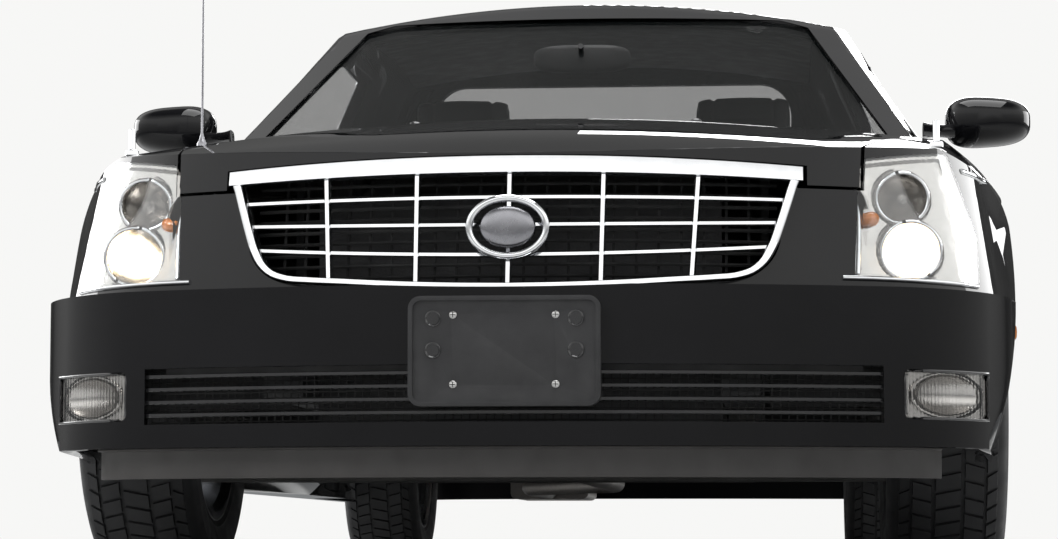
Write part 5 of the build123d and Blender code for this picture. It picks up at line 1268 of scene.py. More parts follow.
class FLOWERCAR_OT_wheels(bpy.types.Operator):
    """Builds the tyres with their tread and the seven-spoke wheels with nuts, caps and discs"""

    bl_idname = "flowercar.wheels"
    bl_label = "Wheels"

    def execute(self, context):
        for axle, station in (("front", FRONT_AXLE), ("rear", REAR_AXLE)):
            for sign, side in ((1, "left"), (-1, "right")):
                self.wheel(context.scene.flowercar_wheels, axle + "_" + side, sign, y_of(station))
        return {"FINISHED"}

    def wheel(self, sizes, end, sign, axle_y):
        body = BODY_OF["tyre_" + end]
        hub = (sign * WHEEL_X, axle_y, TYRE_RADIUS)

        def turned(profile, steps):
            return Shape().turned(profile, hub, (sign, 0, 0), steps)

        def around(name, shape, finish, count, angle=32):
            turn = (2 * math.pi / count, 0, 0)
            repeated(f"{name}_{end}", shape, finish, count, body, turn=turn, centre=hub, angle=angle)

        base = TYRE_RADIUS - sizes.groove
        half = TYRE_WALL + [(base - 0.0025, 0.0920), (base - 0.0008, 0.0760), (base, 0.0500), (base, 0.0)]
        carcass = turned(half + [(radius, -along) for radius, along in half[-2::-1]], 120)
        carcass.build("tyre_carcass_" + end, "tyre", body, replaces=("tyre_" + end,))
        around("tyre_tread", self.tread(base, 2 * math.pi / sizes.pads, sign), "tyre", sizes.pads)
        turned(RIM_BARREL, 120).build("rim_barrel_" + end, "alloy", body, replaces=("rim_" + end,), angle=40)
        turned(RIM_MIDDLE, 84).build("rim_middle_" + end, "alloy", body, angle=32)
        turned(WHEEL_CAP, 56).build("wheel_cap_" + end, "polished", body, angle=40)
        rings = []
        for radius, wide, front, thick in SPOKE:
            section = [(-u, deep) for u, deep in SPOKE_HALF[::-1]] + [(0.0, -0.0036)] + SPOKE_HALF
            section = [(-1.0, -thick)] + section + [(1.0, -thick)]
            turns = [(across * wide / radius, sign * (front + deep)) for across, deep in section]
            rings.append([(x, radius * math.sin(turn), radius * math.cos(turn)) for turn, x in turns])
        around("rim_spokes", Shape().loft(rings), "alloy", sizes.spokes, 40)
        corners = squared_points(6)
        nut = Shape().loft([
            [(sign * along, radius * c, NUT_CIRCLE + radius * s) for c, s in corners] for radius, along in NUT
        ])
        around("wheel_nuts", nut, "polished", sizes.nuts, 25)
        turned(BRAKE_DISC, 96).build("brake_disc_" + end, "disc", body, angle=30)
        valve = Shape().tube([(sign * 0.088, 0, 0.199), (sign * 0.110, 0, 0.186)], [0.0032, 0.0026], 10)
        valve.points = [tuple(Vector(p) + Vector(hub)) for p in valve.points]
        valve.build("tyre_valve_" + end, "rubber", body, angle=32)

    def tread(self, base, pitch, sign):
        """One tread pad of each column."""
        pads = Shape()
        for column, (middle, width) in enumerate(TREAD_COLUMNS):
            lean = 0.28 * (1 if column % 2 else -1) * pitch
            shift = 0.5 * pitch * (column % 2)
            rows = []
            for across in (-0.5, 0.5):
                x = middle + across * width
                edge = abs(x) > 0.085
                low = (x, base - (0.004 if edge else 0.001))
                high = (x - math.copysign(0.0012, across), TYRE_RADIUS - 0.0003 - (0.0042 if edge else 0.0))
                for place, radius in (low, high):
                    turns = [shift + along * pitch + lean * across for along in (-0.40, 0.0, 0.40)]
                    spots = [(radius * math.sin(turn), -radius * math.cos(turn)) for turn in turns]
                    rows.append([(sign * place, y, z) for y, z in spots])
            order = [rows[0], rows[1], rows[3], rows[2]]
            pads.loft(order, closed=False, joined=True)
            for end, flip in ((0, 1), (2, -1)):
                pads.add([row[end] for row in order], [(0, 1, 2, 3)[::flip]])
        return pads


# Height and depth of an intake bar's outline.
INTAKE_BAR = [
    (-0.0036, -0.020), (-0.0040, -0.013), (-0.0026, -0.0085), (0.0026, -0.0085), (0.0040, -0.013),
    (0.0036, -0.020),
]


class FLOWERCAR_OT_intake(bpy.types.Operator):
    """Builds the lower intake's bars and the dark lattice behind them"""

    bl_idname = "flowercar.intake"
    bl_label = "Lower intake"

    def execute(self, context):
        bars, mesh = Shape(), Shape()
        for height in (0.298, 0.321, 0.344, 0.367):
            bars.loft([
                [on_bumper(x, height + up, ahead) for up, ahead in INTAKE_BAR]
                for x in np.linspace(-0.654, 0.654, 61)
            ])
        bars.build("intake_bars", "gloss_trim", replaces=("lower_grille",))
        for z in np.linspace(0.286, 0.378, 10):
            mesh.tube([on_bumper(x, z, -0.046) for x in np.linspace(-0.652, 0.652, 45)], 0.0014, 5)
        for x in np.linspace(-0.650, 0.650, 90):
            mesh.tube([on_bumper(x, z, -0.0465) for z in (0.281, 0.381)], 0.0014, 5)
        mesh.build("intake_mesh", "liner", angle=32)
        return {"FINISHED"}


# Radius, then height.
WIPER_PIVOT = [(0.0004, -0.004), (0.0130, -0.004), (0.0130, 0.012), (0.0105, 0.020), (0.0004, 0.0215)]
WIPER_STATION = 1.425
# Height of the wiper blades at rest.
BLADE_Z = 0.984
JET_STATION = 1.180


class FLOWERCAR_OT_screen_fittings(bpy.types.Operator):
    """Builds the wipers and the washer jets"""

    bl_idname = "flowercar.screen_fittings"
    bl_label = "Screen fittings"

    def execute(self, context):
        screen, cowl, hood = Probe("fixed_glass"), Probe("cab_shell"), Probe("hood")
        arms, blades, jets = Shape(), Shape(), Shape()
        pivot_y = y_of(WIPER_STATION)
        for pivot_x, tip_x in ((0.520, -0.020), (-0.060, -0.600)):
            floor = cowl.top(pivot_x, pivot_y, 0.930)
            arms.turned(WIPER_PIVOT, (pivot_x, pivot_y, floor), (0, 0, 1), 28)
            middle_x = (pivot_x + tip_x) / 2
            path = [
                (pivot_x, pivot_y, floor + 0.013), (pivot_x - 0.06, pivot_y + 0.012, floor + 0.020),
                (middle_x, screen.front(middle_x, BLADE_Z, y_of(1.50)) - 0.0125, BLADE_Z),
            ]
            arms.tube(smooth_path(path, 14), list(np.linspace(0.0080, 0.0038, 14)), 10, flat=0.6)
            start = pivot_x - 0.02
            backs, edges = [], []
            for x in np.linspace(start - 0.02, tip_x, 26):
                z = BLADE_Z + 0.004 * (start - x) / (start - tip_x)
                y = screen.front(x, z, y_of(1.50))
                backs.append((x, y - 0.0095, z))
                edges.append((x, y - 0.0030, z - 0.001))
            blades.tube(backs, 0.0032, 8).tube(edges, 0.0018, 6)
        arms.build("wiper_arms", "trim", replaces=("wipers",))
        blades.build("wiper_blades", "rubber")
        for x in (-0.300, 0.300):
            y = y_of(JET_STATION)
            top = hood.top(x, y, 0.94)
            jets.loft([
                [(x + 0.013 * share * c, y + 0.009 * share * s, top + rise) for c, s in squared_points(24)]
                for share, rise in ((1.0, -0.002), (1.0, 0.003), (0.8, 0.007), (0.35, 0.0095))
            ])
        jets.build("washer_jets", "gloss_trim", "hood")
        return {"FINISHED"}


# Height of the belt strips.
BELT = 0.765
# Station and z of the door window's corners.
WINDOW_EDGE = [(1.850, 1.004), (2.398, 1.274), (2.580, 1.306), (2.876, 1.312), (2.893, 1.004)]
# Radius and distance out of the key cylinder behind a door handle.
KEY_CYLINDER = [(0.0003, 0.0030), (0.0080, 0.0030), (0.0105, 0.0015), (0.0105, -0.003), (0.0003, -0.003)]
HANDLE_Z = 0.812


def outlined(corners, count):
    """Points along a closed outline, count of them on each of its sides."""
    ends = corners[1:] + corners[:1]
    return np.concatenate([np.linspace(a, b, count, endpoint=False) for a, b in zip(corners, ends)])


class FLOWERCAR_OT_side_trims(bpy.types.Operator):
    """Builds the window surrounds, door handles, belt strips, side markers and the fuel door's line"""

    bl_idname = "flowercar.side_trims"
    bl_label = "Side trims"

    def execute(self, context):
        quarter = Probe("body_sides")
        belt, ambers, reds = Shape(), Shape(), Shape()
        for sign, side in ((1, "left"), (-1, "right")):
            door = Probe("door_" + side)
            body = BODY_OF["door_" + side]
            ring = outlined(WINDOW_EDGE, 16)
            out = ring - np.mean(WINDOW_EDGE, axis=0)
            ring = ring + out / np.linalg.norm(out, axis=1, keepdims=True) * 0.014
            spots = [(0, y_of(s), z) for s, z in ring]
            frame_trim = Shape().strip(door, spots, (sign, 0, 0), 0.0060, 0.0040, True)
            frame_trim.build("window_trim_" + side, "polished", body)
            self.handle(door, sign, side, body)
            door_belt = Shape()
            for shape, probe, start, end, z, wide in (
                (belt, quarter, 2.978, 5.860, BELT, 0.0055),
                (belt, Probe("front_fenders"), 0.480, 1.632, BELT, 0.0055),
                (door_belt, door, 1.668, 2.932, BELT, 0.0055),
                (ambers, Probe("front_fenders", "front_bumper"), 0.585, 0.695, 0.470, 0.0130),
                (reds, Probe("rear_bumper", "body_sides"), 5.645, 5.755, 0.545, 0.0130),
            ):
                spots = [(0, y_of(s), z) for s in np.linspace(start, end, 60 if end - start > 1 else 12)]
                shape.strip(probe, spots, (sign, 0, 0), wide, 0.0045)
            door_belt.build("door_belt_" + side, "polished", body)
        belt.build("belt_strips", "polished")
        ambers.build("front_side_markers", "amber")
        reds.build("rear_side_markers", "red")
        ring = [(y_of(5.270 + 0.088 * c), 0.830 + 0.062 * s) for c, s in squared_points(72, 4.0)]
        line = Shape().tube([(quarter.side(y, z, 1, 0.93), y, z) for y, z in ring], 0.0011, 6, closed=True)
        line.build("fuel_door_line", "gloss_trim")
        return {"FINISHED"}

    def handle(self, door, sign, side, body):
        """A pull handle ahead of its key cylinder, over a line that marks its dish."""
        z = HANDLE_Z

        def surface(station, up):
            return abs(door.side(y_of(station), up, sign, 0.945 * sign))

        rings = []
        for t in np.linspace(0, 1, 25):
            station = 2.665 + 0.185 * t
            lift = 0.024 * min(1.0, math.sin(math.pi * t) * 2.2)
            tall = 0.0125 - 0.003 * abs(2 * t - 1)
            x = surface(station, z) + lift - 0.004
            section = squared_points(20, 2.8)
            rings.append([(sign * (x + 0.0060 * c), y_of(station), z + tall * s) for c, s in section])
        bar = Shape().loft(rings)
        bar.turned(KEY_CYLINDER, (sign * surface(2.885, z), y_of(2.885), z), (sign, 0, 0), 32)
        bar.build("door_handle_" + side, "chrome", body)
        ring = [(2.757 + 0.112 * c, z + 0.024 * s) for c, s in squared_points(48, 3.2)]
        path = [(sign * (surface(s, up) + 0.0006), y_of(s), up) for s, up in ring]
        dish = Shape().tube(path, 0.0014, 6, closed=True)
        dish.build("handle_dish_" + side, "gloss_trim", body)


# Stations of the rail's posts.
RAIL_STATIONS = (3.580, 3.960, 4.340, 4.720, 5.100, 5.480, 5.860)
# Turned parts of the bed: radius, then height.
RAIL_POST = [
    (0.0003, -0.004), (0.0150, -0.004), (0.0150, 0.0040), (0.0125, 0.0062), (0.0088, 0.0078),
    (0.0072, 0.0120), (0.0066, 0.0230), (0.0070, 0.0340), (0.0092, 0.0400), (0.0003, 0.0400),
]
FLOOR_STUD = [(0.0003, 0.0034), (0.0042, 0.0030), (0.0070, 0.0016), (0.0080, -0.001), (0.0003, -0.001)]
DRAIN = [(0.0120, 0.0012), (0.0210, 0.0020), (0.0240, 0.0012), (0.0250, -0.001), (0.0120, -0.001)]
# How far past its last post a rail runs, and its share of the rail's radius there.
RAIL_END = [(0.0102, 0.04), (0.0095, 0.36), (0.0072, 0.70), (0.0035, 0.92)]
# Distance from a deck strip's end, and its share of the strip's height there.
STRIP_END = [(0, 0.05), (0.006, 0.7), (0.020, 1.0)]
STRIPS = 9
STRIP_WIDTH = 0.034
STUD_X = 0.679


class FLOWERCAR_OT_bed(bpy.types.Operator):
    """Builds the flower bed's rails, posts, deck strips, studs and drains"""

    bl_idname = "flowercar.bed"
    bl_label = "Flower bed"

    def execute(self, context):
        sizes = context.scene.flowercar_bed
        dress("bed_liner", "stainless", 0.0015, 38)
        skin = Probe("body_sides")
        rail_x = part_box("bed_rails")[1][0] - 0.0150
        rails, posts, drains = Shape(), Shape(), Shape()
        spots = []
        for station in RAIL_STATIONS:
            foot = skin.top(rail_x, y_of(station), 1.0)
            spots.append((rail_x, y_of(station), foot + 0.046))
            posts.turned(RAIL_POST, (rail_x, y_of(station), foot), (0, 0, 1), 28)
        path = [Vector(p) for p in smooth_path(spots, 70)]
        ahead, behind = (path[0] - path[1]).normalized(), (path[-1] - path[-2]).normalized()
        before = [path[0] + ahead * along for along, _ in RAIL_END]
        after = [path[-1] + behind * along for along, _ in RAIL_END[::-1]]
        taper = [sizes.rail * share for _, share in RAIL_END]
        rails.tube(before + path + after, taper + [sizes.rail] * len(path) + taper[::-1], 20)
        rails.mirror().build("side_rails", "polished", slot="stainless", replaces=("bed_rails",))
        posts.mirror().build("rail_posts", "polished", slot="stainless", angle=40)
        low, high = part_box("flower_deck")
        self.strips(sizes, low, high)
        stud = Shape().turned(FLOOR_STUD, (0, 0, 0), (0, 0, 1), 16)
        step = (high[1] - low[1]) / (sizes.studs - 1)
        for row, x in (("left", STUD_X), ("right", -STUD_X)):
            repeated(
                "floor_studs_" + row, stud, "polished", sizes.studs, step=(0, step, 0),
                centre=(x, low[1], low[2]), slot="stainless", angle=40,
            )
        for x in (-0.525, 0.525):
            for y in (low[1] + 0.09, high[1] - 0.09):
                drains.turned(DRAIN, (x, y, low[2]), (0, 0, 1), 40)
        drains.build("bed_drains", "polished", slot="stainless", angle=40)
        return {"FINISHED"}

    def strips(self, sizes, low, high):
        """The deck's ribbed strips, lower at both ends."""
        section = [(-0.0170, 0.0), (-0.0130, 0.0098)]
        for middle in np.linspace(-0.0096, 0.0096, 5):
            ridge = ((-0.0019, 0), (-0.0012, sizes.ridge), (0.0012, sizes.ridge), (0.0019, 0))
            section += [(middle + u, 0.0100 + rise) for u, rise in ridge]
        section += [(0.0130, 0.0098), (0.0170, 0.0)]
        ends = [(low[1] + along, share) for along, share in STRIP_END]
        ends += [(high[1] - along, share) for along, share in STRIP_END[::-1]]
        strip = Shape().loft([[(x, y, up * share) for x, up in section] for y, share in ends])
        step = (high[0] - low[0] - STRIP_WIDTH) / (STRIPS - 1)
        repeated(
            "deck_strips", strip, "stainless", STRIPS, step=(step, 0, 0),
            centre=(low[0] + STRIP_WIDTH / 2, 0, low[2]), replaces=("flower_deck",), angle=30,
        )


PLATE_SCREW = [(0.0003, 0.0085), (0.0060, 0.0070), (0.0060, 0.002), (0.0003, 0.002)]


class FLOWERCAR_OT_tail(bpy.types.Operator):
    """Builds the tail lamps' trim, the tailgate's handle and mouldings, the blank plate and the reflectors"""

    bl_idname = "flowercar.tail"
    bl_label = "Tail"

    def execute(self, context):
        gate, bumper, lamps = Probe("tailgate"), Probe("rear_bumper"), Probe("tail_lamps")
        body = BODY_OF["tailgate"]
        back = (0, 1, 0)
        bright, trim, cells, reflectors = Shape(), Shape(), Shape(), Shape()
        rings = []
        for x in np.linspace(-0.150, 0.150, 31):
            y = gate.tail(x, 0.842, 3.0) + 0.012 * min(1.0, math.cos(math.pi * x / 0.304) * 2.0) - 0.001
            rings.append([(x, y + 0.0065 * c, 0.842 + 0.0115 * s) for c, s in squared_points(20, 2.6)])
        bright.loft(rings)
        for z in (0.580, 0.905):
            bright.strip(gate, [(x, 0, z) for x in np.linspace(-0.628, 0.628, 61)], back, 0.0060, 0.0038)
        bright.build("tailgate_trim", "chrome", body)
        face = max(gate.tail(x, 0.690, 3.0) for x in (-0.15, 0.0, 0.15))
        plate = Shape().block((-0.155, face + 0.0025, 0.6125), (0.155, face + 0.0045, 0.7645))
        plate.build("blank_rear_plate", "blank", body, bevel=0.0006, angle=32)
        corners = [(-0.160, 0.6075), (0.160, 0.6075), (0.160, 0.7695), (-0.160, 0.7695)]
        ring = [(x, face + 0.0035, z) for x, z in outlined(corners, 12)]
        holder = Shape().tube(ring, 0.0040, 8, closed=True)
        for x in (-0.1, 0.1):
            holder.turned(PLATE_SCREW, (x, face, 0.742), back, 20)
        holder.build("rear_plate_frame", "chrome", body)
        for sign in (1, -1):
            for z, shape, wide, tall in (
                (0.606, trim, 0.0048, 0.0040), (0.757, trim, 0.0048, 0.0040), (0.655, cells, 0.0180, 0.0030),
                (0.705, cells, 0.0180, 0.0030), (0.805, cells, 0.0180, 0.0030),
                (0.855, cells, 0.0180, 0.0030),
            ):
                spots = [(sign * x, 0, z) for x in np.linspace(0.722, 0.882, 24)]
                shape.strip(lamps, spots, back, wide, tall)
            spots = [(sign * x, 0, 0.330) for x in np.linspace(0.520, 0.640, 14)]
            reflectors.strip(bumper, spots, back, 0.0150, 0.0040)
        trim.build("tail_lamp_trim", "chrome")
        cells.build("tail_lamp_lenses", "red", angle=30)
        reflectors.build("rear_reflectors", "red")
        ledge = [(x, bumper.tail(x, 0.500, 3.0) - 0.0300, 0) for x in np.linspace(-0.640, 0.640, 71)]
        pad = Shape().strip(bumper, ledge, (0, 0, 1), 0.0180, 0.0050)
        pad.build("rear_step_pad", "trim")
        return {"FINISHED"}


def eased(points, rounds=3):
    """A closed outline with its corners cut round."""
    points = np.asarray(points, float)
    for _ in range(rounds):
        after = np.roll(points, -1, axis=0)
        points = np.stack((0.75 * points + 0.25 * after, 0.25 * points + 0.75 * after), axis=1).reshape(-1, 2)
    return points


def vectors(mesh, kind):
    """The places or normals of a mesh's points."""
    values = np.empty(len(mesh.vertices) * 3)
    mesh.vertices.foreach_get(kind, values)
    return values.reshape(-1, 3)


def stuffed(shape, voxel, cap):
    """A sewn cover filled by a cloth simulation, with no point moved further than cap."""
    mesh = bpy.data.meshes.new("cover")
    mesh.from_pydata(shape.points, [], shape.faces)
    obj = linked("cover", mesh)
    scene = bpy.context.scene
    net = obj.modifiers.new("Net", "REMESH")
    net.mode = "VOXEL"
    net.voxel_size = voxel
    apply_modifiers(obj)
    before = vectors(obj.data, "co")
    cloth = obj.modifiers.new("Filling", "CLOTH")
    cloth.settings.use_pressure = True
    cloth.settings.uniform_pressure_force = 4.0
    cloth.settings.effector_weights.gravity = 0.0
    cloth.collision_settings.use_collision = False
    cloth.point_cache.frame_end = 20
    for step in range(1, 21):
        scene.frame_set(step)
    apply_modifiers(obj)
    moved = vectors(obj.data, "co") - before
    reach = np.linalg.norm(moved, axis=1, keepdims=True)
    moved *= np.minimum(1.0, cap / np.maximum(reach, 1e-9))
    obj.data.vertices.foreach_set("co", (before + moved).ravel())
    scene.frame_set(1)
    smooth = obj.modifiers.new("Smooth", "SUBSURF")
    smooth.levels = smooth.render_levels = 1
    return apply_modifiers(obj)


# x of the driver's seat, its head restraint and the steering wheel.
SEAT_X = 0.380
# Node, half width, voxel, axis of its seams, the way that it faces, its seams, and its outline.
PADS = [
    (
        "seat_cushions", 0.232, 0.009, 1, (0, 0, 1), (2.320, 2.415, 2.510),
        [(2.198, 0.446), (2.250, 0.414), (2.640, 0.414), (2.655, 0.500), (2.250, 0.540), (2.200, 0.520)],
    ),
    (
        "seat_backs", 0.232, 0.009, 2, (0, -0.963, 0.27), (0.600, 0.700, 0.800, 0.900, 1.000),
        [
            (2.690, 0.436), (2.768, 0.428), (2.956, 1.054), (2.938, 1.074), (2.890, 1.074), (2.870, 1.050),
            (2.708, 0.540),
        ],
    ),
    (
        "headrests", 0.122, 0.006, 2, (0, -1, 0), (1.195,),
        [(2.890, 1.134), (2.962, 1.134), (2.972, 1.244), (2.950, 1.262), (2.912, 1.262), (2.890, 1.244)],
    ),
]


class FLOWERCAR_OT_seats(bpy.types.Operator):
    """Stuffs the seats' pads as sewn covers and presses in their seams"""

    bl_idname = "flowercar.seats"
    bl_label = "Seats"

    def execute(self, context):
        for node, half, voxel, along, facing, rows, profile in PADS:
            outline = eased(profile)
            centre = outline.mean(axis=0)
            rings = []
            for u in np.linspace(-1, 1, 33):
                share = 1 - 0.16 * abs(u) ** 9
                side = centre + (outline - centre) * share
                if half > 0.2:
                    front = (side - centre) @ np.array(facing[1:]) > 0.01
                    lift = 0.012 * math.exp(-((abs(u) - 0.84) / 0.12) ** 2) - 0.010 * (abs(u) < 0.66)
                    side[front] += lift * np.array(facing[1:])
                rings.append([(SEAT_X + half * u, y_of(s), z) for s, z in side])
            cover = stuffed(Shape().loft(rings), voxel, 0.012)
            spots, normals = vectors(cover.data, "co"), vectors(cover.data, "normal")
            away = np.abs(spots[:, 0] - SEAT_X) / half
            press = 0.006 * np.exp(-((away - 0.66) * half / 0.006) ** 2)
            shown = (normals @ np.array(facing) > 0.2) & (away < 0.66)
            for row in rows:
                press = np.maximum(press, 0.005 * shown * np.exp(-((spots[:, along] - row) / 0.006) ** 2))
            spots -= normals * press[:, None]
            faces = [tuple(face.vertices) for face in cover.data.polygons]
            pads = Shape().add([tuple(map(float, p)) for p in spots], faces).mirror()
            bpy.data.objects.remove(cover)
            obj = pads.build(node + "_padded", "leather", replaces=(node,), angle=80)
        posts = Shape()
        for x in (0.300, 0.460):
            posts.tube([(x, y_of(2.928), 1.060), (x, y_of(2.928), 1.150)], 0.0055, 16)
        posts.mirror().build("headrest_posts", "chrome")
        dress("seat_frames", "under", 0.001)
        return {"FINISHED"}


# Turned parts of the cabin: radius, then distance along.
STEERING_HUB = [
    (0.0004, 0.010), (0.0350, 0.0085), (0.0560, 0.0030), (0.0640, -0.0060), (0.0640, -0.0200),
    (0.0360, -0.0260), (0.0360, -0.1850), (0.0004, -0.1850),
]
# Radius and distance along of a steering wheel spoke's middle line, and its half width along that line.
STEERING_SPOKE = [(0.05, -0.012), (0.12, -0.010), (0.178, 0.0)]
SPOKE_RADII = [0.019, 0.018, 0.017, 0.016, 0.0145, 0.013, 0.012, 0.011]
DIAL_RING = [(-0.004, 0.001), (-0.003, 0.007), (0.001, 0.008), (0.004, -0.004), (-0.004, -0.004)]
DASH_KNOB = [(0.0003, 0.018), (0.0120, 0.017), (0.0140, 0.012), (0.0150, -0.002), (0.0003, -0.002)]
# x, z and radius of the dash's round pieces.
DIALS = [(0.325, 0.885, 0.046), (0.435, 0.885, 0.046)]
VENTS = [(-0.66, 0.855, 0.036), (0.66, 0.855, 0.036)]


class FLOWERCAR_OT_cabin(bpy.types.Operator):
    """Builds the steering wheel, the dash's instruments and vents, the inside mirror and the door cards"""

    bl_idname = "flowercar.cabin"
    bl_label = "Cabin"

    def execute(self, context):
        tilt = Matrix.Rotation(math.radians(25), 3, "X")
        axis = tilt @ Vector((0, 1, 0))
        centre = Vector((SEAT_X, y_of(2.050), 0.880))
        wheel, hub = Shape(), Shape()
        wheel.turned([(0.185 + 0.0145 * c, 0.0160 * s) for c, s in squared_points(18)], centre, axis, 96)
        for turn in (0, 180, 250, 290):
            out = tilt @ Vector((math.cos(math.radians(turn)), 0, math.sin(math.radians(turn))))
            path = [centre + out * radius + axis * drop for radius, drop in STEERING_SPOKE]
            wheel.tube(smooth_path(path, len(SPOKE_RADII)), SPOKE_RADII, 14, flat=0.5)
        hub.turned(STEERING_HUB, centre, axis, 64)
        wheel.build("steering_rim", "leather", replaces=("steering_wheel",))
        hub.build("steering_hub", "dash", angle=35)
        dress("instrument_panel", "dash", 0.006, 30)
        panel = Probe("instrument_panel")
        back = Vector((0, 1, 0))
        rings, faces, slats, inlay = Shape(), Shape(), Shape(), Shape()
        for x, z, radius in DIALS + VENTS:
            y = panel.tail(x, z, y_of(1.90))
            rings.turned([(radius + out, along) for out, along in DIAL_RING], (x, y, z), back, 48)
            edge = radius - 0.003
            disc = [(0.0003, 0.0025), (edge, 0.0025), (edge, -0.002), (0.0003, -0.002)]
            faces.turned(disc, (x, y, z), back, 48)
        for x, z, radius in VENTS:
            y = panel.tail(x, z, y_of(1.90))
            for up in np.linspace(-0.7, 0.7, 5):
                half, level = radius * math.sqrt(1 - up * up) - 0.004, z + up * radius
                slats.block((x - half, y + 0.002, level - 0.0012), (x + half, y + 0.008, level + 0.0012))
        rings.build("dash_rings", "satin", angle=40)
        faces.build("dash_faces", "gloss_trim", slot="interior", angle=40)
        for x in (-0.095, -0.040, 0.040, 0.095):
            y = panel.tail(x, 0.760, y_of(1.86))
            slats.turned(DASH_KNOB, (x, y, 0.760), back, 32)
        slats.build("dash_slats", "trim", slot="interior", bevel=0.0003, angle=32)
        inlay.strip(panel, [(x, 0, 0.815) for x in np.linspace(-0.715, 0.230, 60)], (0, 1, 0), 0.0150, 0.0030)
        inlay.build("dash_inlay", "satin", angle=40)
        screen = Probe("fixed_glass")
        y = screen.front(0.0, 1.240, y_of(1.90)) + 0.070
        glass, shell = Shape(), Shape()
        shell.loft([
            [(0.118 * share * c, y + along, 1.240 + 0.034 * share * s) for c, s in squared_points(40, 3.4)]
            for along, share in ((-0.016, 0.72), (-0.010, 0.92), (0.0, 1.0), (0.008, 1.0), (0.010, 0.97))
        ])
        shell.tube([(0, y - 0.01, 1.244), (0, y - 0.030, 1.256), (0, y - 0.058, 1.262)], 0.0070, 14)
        glass.loft([
            [(0.112 * c, y + along, 1.240 + 0.029 * s) for c, s in squared_points(40, 3.4)]
            for along in (0.0085, 0.0112)
        ])
        shell.build("inside_mirror", "trim", slot="interior")
        glass.build("inside_mirror_glass", "mirror")
        for sign, side in ((1, "left"), (-1, "right")):
            self.door_card(sign, side)
        self.headliner()
        return {"FINISHED"}

    def headliner(self):
        """A cloth lining laid under the roof."""
        roof = Probe("cab_shell")
        across = np.linspace(-0.560, 0.560, 29)
        rings = []
        for y in np.linspace(y_of(2.480), y_of(3.330), 26):
            hits = [roof.shoot((x, y, 1.12), (0, 0, 1)) for x in across]
            under = [(x, y, min(hit.z if hit else 1.33, 1.42) - 0.004) for x, hit in zip(across, hits)]
            rings.append(under + [(x, y, z - 0.004) for x, _, z in reversed(under)])
        Shape().loft(rings).build("headliner", "dash")

    def door_card(self, sign, side):
        """A stitched lining with an armrest, laid on the door's inner wall."""
        door = Probe("door_" + side)
        stations, heights = np.linspace(1.760, 2.860, 45), np.linspace(0.345, 0.955, 31)
        sheet = []
        for z in heights:
            row = []
            for station in stations:
                hit = door.shoot((sign * 0.55, y_of(station), z), (sign, 0, 0))
                x = min(abs(hit.x) if hit else 0.86, 0.88)
                rest = 0.046 * math.exp(-((z - 0.640) / 0.030) ** 4)
                row.append(x - 0.006 - rest * math.exp(-((station - 2.38) / 0.30) ** 6))
            sheet.append(row)
        flat = np.minimum(sheet, np.median(sheet) + 0.004)
        rings = []
        for z, row in zip(heights, flat):
            front = [(sign * x, y_of(s), z) for x, s in zip(row, stations)]
            rings.append(front + [(x + sign * 0.004, y, z) for x, y, z in reversed(front)])
        card = Shape().loft(rings)
        card.build("door_card_" + side, "leather", BODY_OF["door_" + side], "interior", angle=40)


# Radius, then distance back.
EXHAUST_TIP = [
    (0.0275, 0.0), (0.0275, 0.100), (0.0285, 0.1035), (0.0305, 0.1035), (0.0315, 0.101),
    (0.0315, 0.004), (0.0300, 0.0),
]
# Run of the coolant hose from the radiator: x, distance from the engine's front, z.
HOSE = [(0.22, -0.27, 0.62), (0.22, -0.17, 0.66), (0.17, -0.07, 0.70), (0.15, 0.03, 0.70)]


